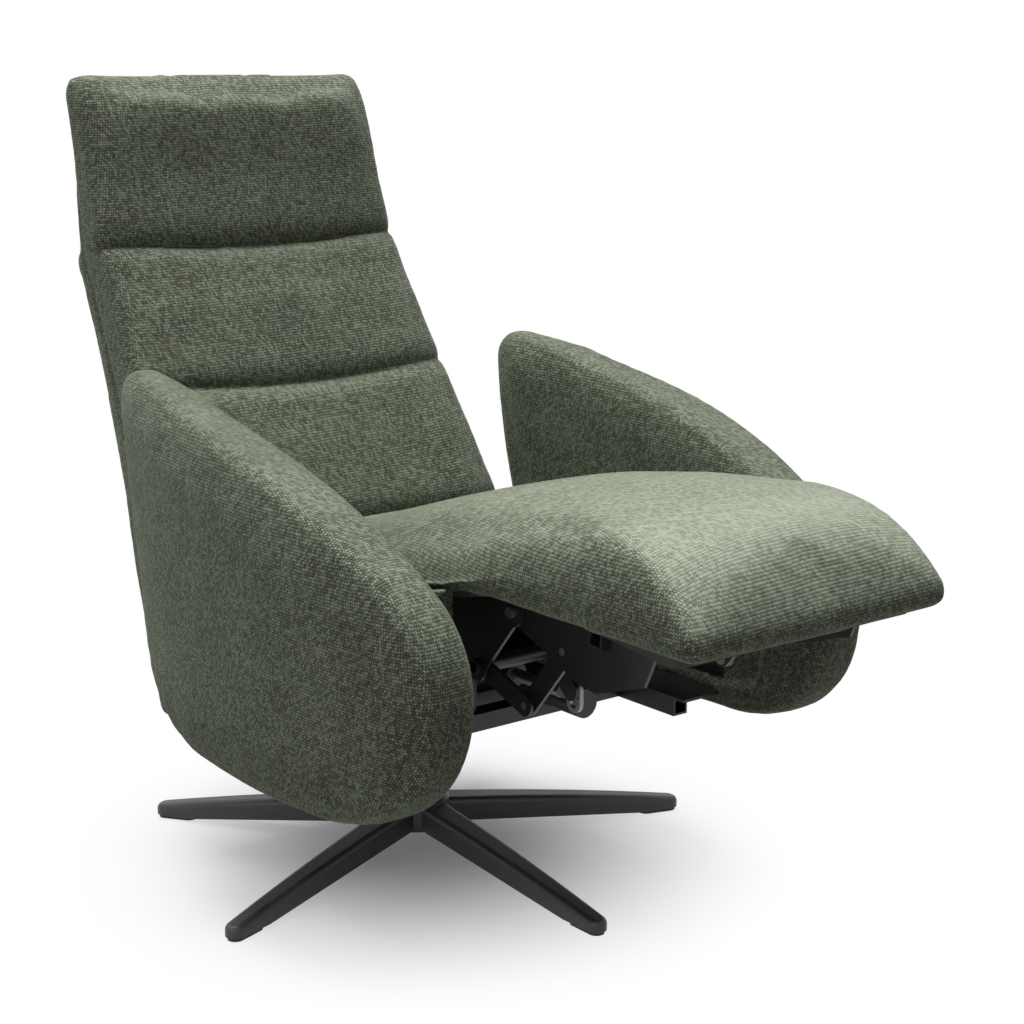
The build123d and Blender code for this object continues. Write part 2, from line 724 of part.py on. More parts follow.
def rod(x, z, tip_y, tail_y, slot_y, slot_low, slot_high, slot_room):
    """Actuator rod along Y with a flat, upright slotted end."""
    reach = 2.2 * DRIVE_PIN_RADIUS + slot_room
    with BuildPart() as piece:
        with BuildSketch(Plane(origin=(x, tip_y, z), x_dir=(1, 0, 0), z_dir=(0, tail_y - tip_y, 0))):
            Circle(ROD_RADIUS)
        extrude(amount=abs(tail_y - tip_y))
        with BuildSketch(Plane.YZ.offset(x - ROD_EYE / 2)):
            with Locations((slot_y, (slot_low + slot_high) / 2)):
                SlotCenterToCenter(slot_high - slot_low, 2 * reach, rotation=90)
            with Locations((tip_y, z)):
                Rectangle(2 * abs(tip_y - slot_y), 1.6 * ROD_RADIUS)
        extrude(amount=ROD_EYE)
        with BuildSketch(Plane.YZ.offset(x - ROD_EYE / 2)):
            with Locations((slot_y, (slot_low + slot_high) / 2)):
                SlotCenterToCenter(slot_high - slot_low, 2 * (DRIVE_PIN_RADIUS + slot_room), rotation=90)
        extrude(amount=ROD_EYE, mode=Mode.SUBTRACT)
        with BuildSketch(Plane.YZ.offset(x + ROD_EYE / 2)):
            with Locations((slot_y, (slot_low + slot_high) / 2)):
                SlotCenterToCenter(slot_high - slot_low, 2 * reach, rotation=90)
        extrude(amount=ROD_RADIUS, mode=Mode.SUBTRACT)
        with BuildSketch(Plane.YZ.offset(x - ROD_EYE / 2)):
            with Locations((slot_y, (slot_low + slot_high) / 2)):
                SlotCenterToCenter(slot_high - slot_low, 2 * reach, rotation=90)
        extrude(amount=-ROD_RADIUS, mode=Mode.SUBTRACT)
    return piece


def actuator(x, z, mouth_y, way, bore):
    """Actuator body along Y: cylinder with a blind bore, gearbox and motor, one behind the other."""
    along = (0, way, 0)

    def station(distance):
        return Plane(origin=(x, mouth_y + way * distance, z), x_dir=(1, 0, 0), z_dir=along)

    with BuildPart() as piece:
        with BuildSketch(station(0)):
            Circle(CYLINDER_RADIUS)
        extrude(amount=CYLINDER_LENGTH)
        with BuildSketch(station(CYLINDER_LENGTH)):
            RectangleRounded(GEARBOX_WIDTH, GEARBOX_HEIGHT, GEARBOX_WIDTH / 6)
        extrude(amount=GEARBOX_LENGTH)
        with BuildSketch(station(CYLINDER_LENGTH + GEARBOX_LENGTH)):
            Circle(MOTOR_RADIUS)
        extrude(amount=MOTOR_LENGTH)
        with BuildSketch(station(0)):
            Circle(ROD_RADIUS + RUN)
        extrude(amount=bore, mode=Mode.SUBTRACT)
    return piece


def saddles(x, z, places):
    """Upright plates on the cross tubes that hold an actuator's cylinder."""
    with BuildPart() as piece:
        for place in places:
            with BuildSketch(Plane.XZ.offset(-place - SADDLE / 2)):
                with Locations((x, (FRAME_TOP + z) / 2)):
                    Rectangle(SADDLE_WIDTH, z - FRAME_TOP)
                with Locations((x, z)):
                    Circle(SADDLE_WIDTH / 2)
                    Circle(CYLINDER_RADIUS + RUN, mode=Mode.SUBTRACT)
            extrude(amount=SADDLE)
    return piece


LEG_ROD_TIP = DRIVE_EYE[0] + LINK_WIDTH
leg_actuator_rod = rod(
    LEG_DRIVE_X, LEG_ROD_Z, LEG_ROD_TIP, LEG_MOUTH_Y + FOLD_STROKE, DRIVE_EYE[0],
    CRANK[1] - DRIVE_EAR_LENGTH, DRIVE_EYE[1], DRIVE_SLOT_ROOM,
)
save("leg_actuator_rod", leg_actuator_rod)
save("leg_actuator_body", actuator(LEG_DRIVE_X, LEG_ROD_Z, LEG_MOUTH_Y, 1, 2 * FOLD_STROKE + SADDLE))

# Back actuator, its rod in the lever at the foot of the back
LEVER_EYE = polar(BACK_PIVOT, BACK_LEVER_LENGTH, BACK_LEVER_ANGLE)
LEVER_HIGH = polar(BACK_PIVOT, BACK_LEVER_LENGTH, BACK_LEVER_ANGLE - RECLINE_ANGLE)[1]
LEVER_LOW = BACK_PIVOT_Z - BACK_LEVER_LENGTH
RECLINE_STROKE = LEVER_EYE[0] - polar(BACK_PIVOT, BACK_LEVER_LENGTH, BACK_LEVER_ANGLE - RECLINE_ANGLE)[0]
BACK_ROD_Z = (LEVER_LOW + LEVER_HIGH) / 2
BACK_MOUTH_Y = REAR_TUBE_Y + TUBE_WIDTH / 2
back_actuator_rod = rod(
    BACK_DRIVE_X, BACK_ROD_Z, LEVER_EYE[0] - 3 * DRIVE_PIN_RADIUS, BACK_MOUTH_Y - 2 * RECLINE_STROKE,
    LEVER_EYE[0], LEVER_LOW, LEVER_HIGH, BACK_DRIVE_ROOM,
)
save("back_actuator_rod", back_actuator_rod)
save("back_actuator_body", actuator(BACK_DRIVE_X, BACK_ROD_Z, BACK_MOUTH_Y, -1, 3 * RECLINE_STROKE + SADDLE))
with BuildPart() as actuator_saddles:
    add(saddles(LEG_DRIVE_X, LEG_ROD_Z, (FRONT_TUBE_Y, MIDDLE_TUBE_Y)).part)
    add(saddles(BACK_DRIVE_X, BACK_ROD_Z, (MIDDLE_TUBE_Y, REAR_TUBE_Y)).part)
save("actuator_saddles", actuator_saddles)

with BuildPart() as back_lever:
    lever_x = BACK_DRIVE_X + ROD_EYE / 2 + 1
    flange_low = LEVER_EYE[1] - 2 * DRIVE_PIN_RADIUS
    flange_high = BACK_PIVOT_Z - EYE_RADIUS
    flange_y = SHELL_FRONT_Y - HINGE_FLANGE
    with BuildSketch(Plane.YZ.offset(lever_x)):
        outline([
            (SHELL_FRONT_Y, flange_low),
            (SHELL_FRONT_Y, flange_high),
            (flange_y, flange_high),
            (LEVER_EYE[0], LEVER_EYE[1] + 2 * DRIVE_PIN_RADIUS),
            (LEVER_EYE[0], LEVER_EYE[1] - 2 * DRIVE_PIN_RADIUS),
        ])
        with Locations(LEVER_EYE):
            Circle(2 * DRIVE_PIN_RADIUS)
    extrude(amount=LINK)
    with BuildSketch(Plane.YZ.offset(lever_x)):
        outline([
            (flange_y, flange_low),
            (flange_y, flange_high),
            (SHELL_FRONT_Y, flange_high),
            (SHELL_FRONT_Y, flange_low),
        ])
    extrude(amount=HINGE_FLANGE_WIDTH)
    with BuildSketch(Plane.YZ.offset(lever_x)):
        with Locations(LEVER_EYE):
            Circle(DRIVE_PIN_RADIUS)
    extrude(amount=-ROD_EYE - 2)
save("back_lever", back_lever)

# Back: hinge plates, padded shell, lower and middle cushions
with BuildPart() as left_back_hinge:
    flange_y = SHELL_FRONT_Y - HINGE_FLANGE
    with BuildSketch(Plane.YZ.offset(LINK_X)):
        outline([
            (SHELL_FRONT_Y, BACK_PIVOT_Z - HINGE_FLANGE_HEIGHT / 2),
            (SHELL_FRONT_Y, BACK_PIVOT_Z + EYE_RADIUS),
            (BACK_PIVOT_Y, BACK_PIVOT_Z + EYE_RADIUS - 2),
            (BACK_PIVOT_Y, BACK_PIVOT_Z - EYE_RADIUS + 2),
        ])
        with Locations(BACK_PIVOT):
            Circle(EYE_RADIUS - 2)
            Circle(BACK_PIN_RADIUS + RUN, mode=Mode.SUBTRACT)
    extrude(amount=LINK)
    with BuildSketch(Plane.YZ.offset(LINK_X + LINK)):
        outline([
            (flange_y, BACK_PIVOT_Z - HINGE_FLANGE_HEIGHT / 2),
            (flange_y, BACK_PIVOT_Z + EYE_RADIUS),
            (SHELL_FRONT_Y, BACK_PIVOT_Z + EYE_RADIUS),
            (SHELL_FRONT_Y, BACK_PIVOT_Z - HINGE_FLANGE_HEIGHT / 2),
        ])
    extrude(amount=-HINGE_FLANGE_WIDTH)
save("left_back_hinge", left_back_hinge)
save("right_back_hinge", mirrored(left_back_hinge))

left_back_pin = pin(
    LINK_X - LAYER_GAP / 2, PLATE_INNER_X + 2 * PLATE, BACK_PIVOT, BACK_PIN_RADIUS, RIVET_HEAD_RADIUS + 3, RIVET_HEAD
)
save("back_pivot_pins", paired(left_back_pin))


def head_leaf_places():
    """Sideways centres of the two headrest hinges."""
    return (-HEAD_HINGE_X, HEAD_HINGE_X)


with BuildPart() as back_shell:
    shelf = on_back(-BACK_PAD_DROP - PAD_GAP, BACK_PAD)
    shell_rear = SHELL_FRONT_Y + SHELL_BOTTOM_DEPTH
    top_rear = on_seam(BACK_PAD + BACK_SHELL)
    bend_middle = ((SHELL_BEND_Y + top_rear[0]) / 2 - SHELL_HOLLOW, (SHELL_BEND_Z + top_rear[1]) / 2)
    with BuildSketch(Plane.YZ):
        with BuildLine():
            Polyline(
                on_seam(BACK_PAD),
                shelf,
                (SHELL_FRONT_Y, shelf[1] - TUCK),
                (SHELL_FRONT_Y, SHELL_BOTTOM_Z),
                (shell_rear, SHELL_BOTTOM_Z),
                (SHELL_BEND_Y, SHELL_BEND_Z),
            )
            ThreePointArc((SHELL_BEND_Y, SHELL_BEND_Z), bend_middle, top_rear)
            Line(top_rear, on_seam(BACK_PAD))
        make_face()
    extrude(amount=2 * BACK_FOOT_HALF_WIDTH, both=True)
    with BuildSketch(Plane.XZ):
        outline([
            (-BACK_FOOT_HALF_WIDTH, 0),
            (BACK_FOOT_HALF_WIDTH, 0),
            (BACK_SEAT_HALF_WIDTH, SHELL_BEND_Z),
            (BACK_TOP_HALF_WIDTH, SEAM[1]),
            (-BACK_TOP_HALF_WIDTH, SEAM[1]),
            (-BACK_SEAT_HALF_WIDTH, SHELL_BEND_Z),
        ])
    extrude(amount=-2 * SEAM[0], mode=Mode.INTERSECT)
    rear_edges = back_shell.edges().filter_by(
        lambda edge: abs(edge.center().X) > HEAD_HINGE_X and edge.center().Y > shell_rear
        and abs(edge.tangent_at(0.5).X) < 0.5 and edge.center().Z < top_rear[1]
        and edge.length > BACK_SHELL * 2
    ).sort_by(lambda edge: edge.center().Y - 0.6 * edge.center().Z)[-4:]
    fillet(rear_edges, SHELL_EDGE)
    for leaf_x in head_leaf_places():
        with BuildSketch(Plane.YZ.offset(leaf_x - LEAF_WIDTH / 2 - RUN)):
            outline([
                on_back(BACK_LENGTH + TUCK, BACK_PAD - 1),
                on_back(BACK_LENGTH + TUCK, BACK_PAD + LEAF + RUN),
                on_back(BACK_LENGTH - LEAF_LENGTH - RUN, BACK_PAD + LEAF + RUN),
                on_back(BACK_LENGTH - LEAF_LENGTH - RUN, BACK_PAD - 1),
            ])
        extrude(amount=LEAF_WIDTH + 2 * RUN, mode=Mode.SUBTRACT)
        with BuildSketch(Plane.YZ.offset(leaf_x - LEAF_WIDTH / 2 - RUN)):
            with Locations(HEAD_AXIS):
                Circle(KNUCKLE_RADIUS + HEAD_GAP)
        extrude(amount=LEAF_WIDTH + 2 * RUN, mode=Mode.SUBTRACT)
save("back_shell", back_shell)


def back_plane(up):
    """Plane across the back, its local y pointing forward from the rear face of the cushions."""
    y, z = on_back(up, BACK_PAD)
    lean = radians(BACK_LEAN)
    return Plane(origin=(0, y, z), x_dir=(1, 0, 0), z_dir=(0, -sin(lean), -cos(lean)))


def back_half_width(up):
    """Half width of the back at a distance up its front line."""
    return BACK_SEAT_HALF_WIDTH + (BACK_TOP_HALF_WIDTH - BACK_SEAT_HALF_WIDTH) * up / BACK_LENGTH


def panel(start, end):
    """Padded back panel between two tucked seams."""
    with BuildPart() as piece:
        for share, fullness, crown, draw_in in (
            (0.0, 0.55, 0.2, 4),
            (0.05, 0.85, 0.6, 1),
            (0.2, 0.95, 0.9, 0),
            (0.5, 0.98, 1.0, 0),
            (0.8, 0.95, 0.9, 0),
            (0.95, 0.85, 0.6, 1),
            (1.0, 0.55, 0.2, 4),
        ):
            up = start + share * (end - start)
            half_width = back_half_width(up) - draw_in
            add(pad_section(back_plane(up), half_width, fullness * BACK_PAD, crown * BACK_CROWN))
        loft()
    return piece


save("lower_back_cushion", panel(-BACK_PAD_DROP, BACK_SEAM - PAD_GAP))
save("middle_back_cushion", panel(BACK_SEAM + PAD_GAP, BACK_LENGTH - TUCK))

# Headrest: cushion, shell and two leaf hinges at the tucked seam
with BuildPart() as headrest_cushion:
    for share, fullness, crown, draw_in in (
        (0.0, 0.55, 0.2, 4),
        (0.05, 0.85, 0.6, 1),
        (0.2, 0.95, 0.85, 0),
        (0.5, 0.97, 0.9, 0),
        (0.85, 0.86, 0.65, 1),
        (0.96, 0.62, 0.3, 5),
        (1.0, 0.4, 0.1, 9),
    ):
        up = TUCK + share * (HEAD_LENGTH - TUCK)
        head_y, head_z = on_head(up, BACK_PAD)
        head_lean = radians(HEAD_LEAN)
        head_plane = Plane(
            origin=(0, head_y, head_z), x_dir=(1, 0, 0), z_dir=(0, -sin(head_lean), -cos(head_lean))
        )
        head_width = BACK_TOP_HALF_WIDTH + (HEAD_TOP_HALF_WIDTH - BACK_TOP_HALF_WIDTH) * up / HEAD_LENGTH
        add(pad_section(head_plane, head_width - draw_in, fullness * BACK_PAD, crown * BACK_CROWN))
    loft()
save("headrest_cushion", headrest_cushion)

with BuildPart() as headrest_shell:
    with BuildSketch(Plane.YZ):
        outline([
            on_seam(BACK_PAD, HEAD_GAP),
            on_head(HEAD_LENGTH, BACK_PAD),
            on_head(HEAD_LENGTH - HEAD_EDGE, BACK_PAD + HEAD_SHELL),
            on_head(TUCK, BACK_PAD + BACK_SHELL - HEAD_EDGE),
            on_seam(BACK_PAD + BACK_SHELL, HEAD_GAP),
        ])
    extrude(amount=2 * BACK_FOOT_HALF_WIDTH, both=True)
    with BuildSketch(Plane.XZ):
        head_top = on_head(HEAD_LENGTH, 0)[1]
        low_half_width = 2 * BACK_TOP_HALF_WIDTH - HEAD_TOP_HALF_WIDTH
        outline([
            (-low_half_width, 2 * SEAM[1] - head_top),
            (low_half_width, 2 * SEAM[1] - head_top),
            (HEAD_TOP_HALF_WIDTH, head_top),
            (-HEAD_TOP_HALF_WIDTH, head_top),
        ])
    extrude(amount=-2 * SEAM[0], mode=Mode.INTERSECT)
    head_rear = headrest_shell.faces().filter_by(lambda face: face.normal_at().Y > 0.5).sort_by(SortBy.AREA)[-1]
    fillet(head_rear.edges().filter_by(lambda edge: abs(edge.tangent_at(0.5).X) < 0.5), HEAD_EDGE)
    for leaf_x in head_leaf_places():
        with BuildSketch(Plane.YZ.offset(leaf_x - LEAF_WIDTH / 2 - RUN)):
            outline([
                on_head(-TUCK, BACK_PAD - 1),
                on_head(-TUCK, BACK_PAD + LEAF + RUN),
                on_head(LEAF_LENGTH + RUN, BACK_PAD + LEAF + RUN),
                on_head(LEAF_LENGTH + RUN, BACK_PAD - 1),
            ])
        extrude(amount=LEAF_WIDTH + 2 * RUN, mode=Mode.SUBTRACT)
        with BuildSketch(Plane.YZ.offset(leaf_x - LEAF_WIDTH / 2 - RUN)):
            with Locations(HEAD_AXIS):
                Circle(KNUCKLE_RADIUS + HEAD_GAP)
        extrude(amount=LEAF_WIDTH + 2 * RUN, mode=Mode.SUBTRACT)
save("headrest_shell", headrest_shell)


def leaves(on_piece, way, knuckle_spans):
    """Pair of hinge leaves, each with its share of the knuckle."""
    with BuildPart() as piece:
        for leaf_x in head_leaf_places():
            with BuildSketch(Plane.YZ.offset(leaf_x - LEAF_WIDTH / 2)):
                outline([
                    on_piece(way * TUCK, BACK_PAD),
                    on_piece(way * TUCK, BACK_PAD + LEAF),
                    on_piece(way * LEAF_LENGTH, BACK_PAD + LEAF),
                    on_piece(way * LEAF_LENGTH, BACK_PAD),
                ])
            extrude(amount=LEAF_WIDTH)
            for low, high in knuckle_spans:
                with BuildSketch(Plane.YZ.offset(leaf_x + low)):
                    with Locations(HEAD_AXIS):
                        Circle(KNUCKLE_RADIUS)
                    outline([
                        HEAD_AXIS,
                        on_piece(way * TUCK * 0.8, BACK_PAD),
                        on_piece(way * TUCK * 2, BACK_PAD),
                        on_piece(way * TUCK * 2, BACK_PAD + LEAF),
                        on_piece(0, BACK_PAD + LEAF),
                    ])
                    with Locations(HEAD_AXIS):
                        Circle(HEAD_PIN_RADIUS + RUN, mode=Mode.SUBTRACT)
                extrude(amount=high - low)
    return piece


KNUCKLE_THIRD = LEAF_WIDTH / 6
save("headrest_lower_leaves", leaves(
    lambda up, depth: on_back(BACK_LENGTH + up, depth), -1,
    ((-3 * KNUCKLE_THIRD, -KNUCKLE_THIRD - HEAD_GAP), (KNUCKLE_THIRD + HEAD_GAP, 3 * KNUCKLE_THIRD)),
))
save("headrest_upper_leaves", leaves(on_head, 1, ((-KNUCKLE_THIRD, KNUCKLE_THIRD),)))

with BuildPart() as headrest_hinge_pins:
    for leaf_x in head_leaf_places():
        with BuildSketch(Plane.YZ.offset(leaf_x - LEAF_WIDTH / 2)):
            with Locations(HEAD_AXIS):
                Circle(HEAD_PIN_RADIUS)
        extrude(amount=LEAF_WIDTH)
save("headrest_hinge_pins", headrest_hinge_pins)

# Arms: leaf outline in side view, bowed in plan, with a board let into the inner side
def on_arm(along, up):
    """Side view point of an arm: share of its length from the rear, share of its height."""
    return (
        ARM_REAR_Y + along * (ARM_FRONT_Y - ARM_REAR_Y),
        ARM_BOTTOM_Z + up * (ARM_TOP_Z - ARM_BOTTOM_Z),
    )


with BuildPart() as left_arm:
    with BuildSketch(Plane.YZ):
        with BuildLine():
            ThreePointArc(on_arm(0.055, 1.0), on_arm(0.012, 0.977), on_arm(0.0, 0.915))
            Spline(
                on_arm(0.0, 0.915),
                on_arm(0.023, 0.58),
                on_arm(0.061, 0.358),
                on_arm(0.124, 0.1625),
                on_arm(0.2275, 0.05),
                on_arm(0.433, 0.007),
                on_arm(0.689, 0.009),
                on_arm(0.868, 0.062),
                on_arm(0.96, 0.18),
                on_arm(0.9985, 0.365),
                on_arm(0.9765, 0.51),
                on_arm(0.874, 0.662),
                on_arm(0.702, 0.79),
                on_arm(0.474, 0.8945),
                on_arm(0.247, 0.9665),
                on_arm(0.055, 1.0),
                tangents=((-0.02, -1), (1, 0.06)),
            )
        make_face()
    extrude(amount=2 * ARM_INNER_X)
    with BuildSketch(Plane.XY):
        with BuildLine():
            arm_front = ARM_FRONT_Y - ARM_EDGE
            arm_rear = ARM_REAR_Y + ARM_EDGE
            front_inner = ARM_INNER_X - ARM_FRONT_IN
            rear_inner = ARM_INNER_X - ARM_REAR_IN
            rear_outer = rear_inner + ARM_REAR_THICKNESS
            front_outer = front_inner + ARM_FRONT_THICKNESS
            arm_middle = (ARM_FRONT_Y + ARM_REAR_Y) / 2
            ThreePointArc((front_inner, arm_front), (ARM_INNER_X, arm_middle), (rear_inner, arm_rear))
            Line((rear_inner, arm_rear), (rear_outer, arm_rear))
            ThreePointArc(
                (rear_outer, arm_rear), (ARM_INNER_X + ARM_THICKNESS, arm_middle), (front_outer, arm_front)
            )
            Line((front_outer, arm_front), (front_inner, arm_front))
        make_face()
    extrude(amount=2 * ARM_TOP_Z, mode=Mode.INTERSECT)
    fillet(left_arm.edges().filter_by(lambda edge: abs(edge.tangent_at(0.5).X) < 0.7), ARM_EDGE)


def board_outline(grow):
    """Outline of an arm's inner board in side view."""
    outline([
        on_arm(0.835, 0.13),
        on_arm(0.7, 0.08),
        on_arm(0.414, 0.08),
        on_arm(0.27, 0.142),
        on_arm(0.185, 0.275),
        on_arm(0.15, 0.431),
        on_arm(0.82, 0.431),
        on_arm(0.86, 0.317),
    ])
    if grow:
        offset(amount=grow)


with BuildPart() as left_arm_board:
    with BuildSketch(Plane.YZ.offset(ARM_BOARD_X)):
        board_outline(0)
    extrude(amount=ARM_BOARD)
save("left_arm_board", left_arm_board)
save("right_arm_board", mirrored(left_arm_board))

with BuildPart() as left_arm_cushion:
    add(left_arm.part)
    with BuildSketch(Plane.YZ.offset(ARM_BOARD_X + ARM_BOARD + SOFT_ROOM)):
        board_outline(SOFT_ROOM)
    extrude(amount=-6 * ARM_BOARD, mode=Mode.SUBTRACT)
    with BuildSketch(Plane.YZ.offset(ARM_BOARD_X + SOFT_ROOM)):
        for place in (ARM_BRACKET_FRONT_Y, ARM_BRACKET_REAR_Y):
            with Locations((place, FRAME_TOP)):
                Rectangle(ARM_BRACKET_LENGTH + 2 * SOFT_ROOM, 2 * (ARM_BRACKET_HEIGHT + SOFT_ROOM))
    extrude(amount=-6 * ARM_BOARD, mode=Mode.SUBTRACT)
save("left_arm_cushion", left_arm_cushion)

with BuildPart() as right_arm_cushion:
    mirror(left_arm_cushion.part, about=Plane.YZ)
    with BuildSketch(Plane.YZ.offset(PANEL_FACE_X - PANEL_BEZEL - PANEL_BOX - SOFT_ROOM)):
        with Locations((PANEL_Y, PANEL_Z)):
            Rectangle(
                PANEL_LENGTH - 2 * PANEL_BORDER + 2 * SOFT_ROOM, PANEL_HEIGHT - 2 * PANEL_BORDER + 2 * SOFT_ROOM
            )
    extrude(amount=3 * PANEL_BOX, mode=Mode.SUBTRACT)
    with BuildSketch(Plane.YZ.offset(PANEL_FACE_X - PANEL_BEZEL - SOFT_ROOM)):
        with Locations((PANEL_Y, PANEL_Z)):
            Rectangle(PANEL_LENGTH + 2 * SOFT_ROOM, PANEL_HEIGHT + 2 * SOFT_ROOM)
    extrude(amount=2 * PANEL_BOX, mode=Mode.SUBTRACT)
save("right_arm_cushion", right_arm_cushion)

with BuildPart() as left_arm_brackets:
    for place in (ARM_BRACKET_FRONT_Y, ARM_BRACKET_REAR_Y):
        with BuildSketch(Plane.XZ.offset(-place)):
            outline([
                (RAIL_INNER_X, FRAME_TOP),
                (ARM_BOARD_X, FRAME_TOP),
                (ARM_BOARD_X, FRAME_TOP + ARM_BRACKET_HEIGHT),
                (ARM_BOARD_X - ARM_BRACKET, FRAME_TOP + ARM_BRACKET_HEIGHT),
                (ARM_BOARD_X - ARM_BRACKET, FRAME_TOP + ARM_BRACKET),
                (RAIL_INNER_X, FRAME_TOP + ARM_BRACKET),
            ])
        extrude(amount=ARM_BRACKET_LENGTH / 2, both=True)
save("arm_brackets", paired(left_arm_brackets))

with BuildPart() as left_arm_bolts:
    bolt_z = FRAME_TOP + 0.65 * ARM_BRACKET_HEIGHT
    for place in (ARM_BRACKET_FRONT_Y, ARM_BRACKET_REAR_Y):
        for side in (-1, 1):
            with BuildSketch(Plane.YZ.offset(ARM_BOARD_X - ARM_BRACKET)):
                with Locations((place + side * 0.35 * ARM_BRACKET_LENGTH, bolt_z)):
                    Circle(ARM_BOLT_HEAD_RADIUS)
            extrude(amount=-ARM_BOLT_HEAD)
save("arm_bolts", paired(left_arm_bolts))

# Switch panel with four push buttons, and the battery on the cross tubes
button_places = [PANEL_Y + (index - 1.5) * BUTTON_PITCH for index in range(4)]
with BuildPart() as switch_panel:
    with BuildSketch(Plane.YZ.offset(PANEL_FACE_X)):
        with Locations((PANEL_Y, PANEL_Z)):
            RectangleRounded(PANEL_LENGTH, PANEL_HEIGHT, PANEL_BORDER)
    extrude(amount=-PANEL_BEZEL)
    with BuildSketch(Plane.YZ.offset(PANEL_FACE_X - PANEL_BEZEL)):
        with Locations((PANEL_Y, PANEL_Z)):
            Rectangle(PANEL_LENGTH - 2 * PANEL_BORDER, PANEL_HEIGHT - 2 * PANEL_BORDER)
    extrude(amount=-PANEL_BOX)
    with BuildSketch(Plane.YZ.offset(PANEL_FACE_X)):
        for place in button_places:
            with Locations((place, PANEL_Z)):
                Circle(BUTTON_RADIUS + BUTTON_ROOM)
    extrude(amount=-BUTTON_DEPTH - 2 * BUTTON_TRAVEL, mode=Mode.SUBTRACT)
save("switch_panel", switch_panel)

for node, place in zip(
    ("legs_out_button", "legs_in_button", "back_down_button", "back_up_button"), button_places
):
    with BuildPart() as button:
        with BuildSketch(Plane.YZ.offset(PANEL_FACE_X + BUTTON_PROUD)):
            with Locations((place, PANEL_Z)):
                Circle(BUTTON_RADIUS)
        extrude(amount=-BUTTON_DEPTH - BUTTON_PROUD)
        fillet(button.edges().sort_by(Axis.X)[-1], BUTTON_PROUD / 3)
    save(node, button)

with BuildPart() as battery_pack:
    battery_length = REAR_TUBE_Y - MIDDLE_TUBE_Y + TUBE_WIDTH
    with BuildSketch(Plane.XY.offset(FRAME_TOP)):
        with Locations((BATTERY_X, (REAR_TUBE_Y + MIDDLE_TUBE_Y) / 2)):
            RectangleRounded(BATTERY_WIDTH, battery_length, BATTERY_WIDTH / 8)
    extrude(amount=BATTERY_HEIGHT)
save("battery_pack", battery_pack)
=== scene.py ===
import json
import logging
import math
from dataclasses import dataclass, field
from enum import Enum
from typing import Any, Callable, Optional, Sequence, Union

import bpy
import numpy as np
from mathutils import Matrix, Vector


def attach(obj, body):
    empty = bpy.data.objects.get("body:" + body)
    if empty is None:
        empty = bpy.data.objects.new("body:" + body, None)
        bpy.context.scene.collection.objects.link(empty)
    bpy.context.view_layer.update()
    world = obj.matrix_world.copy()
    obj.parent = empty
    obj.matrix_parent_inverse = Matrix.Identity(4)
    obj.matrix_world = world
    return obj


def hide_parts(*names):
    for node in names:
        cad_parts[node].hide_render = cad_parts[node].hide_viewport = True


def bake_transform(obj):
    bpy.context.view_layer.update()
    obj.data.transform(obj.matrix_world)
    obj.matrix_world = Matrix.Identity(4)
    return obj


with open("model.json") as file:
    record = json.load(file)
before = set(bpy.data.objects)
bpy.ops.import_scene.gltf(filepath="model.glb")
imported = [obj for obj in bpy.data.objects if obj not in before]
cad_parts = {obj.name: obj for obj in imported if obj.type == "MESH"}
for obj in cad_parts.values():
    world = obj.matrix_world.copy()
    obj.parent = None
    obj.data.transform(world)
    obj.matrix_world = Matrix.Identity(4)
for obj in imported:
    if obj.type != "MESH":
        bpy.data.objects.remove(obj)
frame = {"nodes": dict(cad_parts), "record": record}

logging.basicConfig(level=logging.INFO, format="%(name)s: %(message)s")
log = logging.getLogger("recliner")

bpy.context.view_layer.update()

Number = Union[int, float]
Operand = Union["Wire", Number]
Colour = tuple[float, ...]
Place = tuple[float, float, float]


class Body(Enum):
    """Bodies of the chair that a piece can ride on."""

    CARRIAGE = "carriage"
    FOOTREST = "footrest"
    BACK = "back"
    HEADREST = "headrest"


class Slot(Enum):
    """Material slots of the record."""

    UPHOLSTERY = "upholstery"


def linear(red: int, green: int, blue: int) -> Colour:
    """Scene-linear colour of an eight-bit display colour.

    Args:
        red: Red from 0 to 255.
        green: Green from 0 to 255.
        blue: Blue from 0 to 255.

    Returns:
        Red, green, blue and an alpha of 1.
    """
    parts = []
    for value in (red, green, blue):
        share = value / 255
        parts.append(share / 12.92 if share <= 0.04045 else ((share + 0.055) / 1.055) ** 2.4)
    return (parts[0], parts[1], parts[2], 1.0)


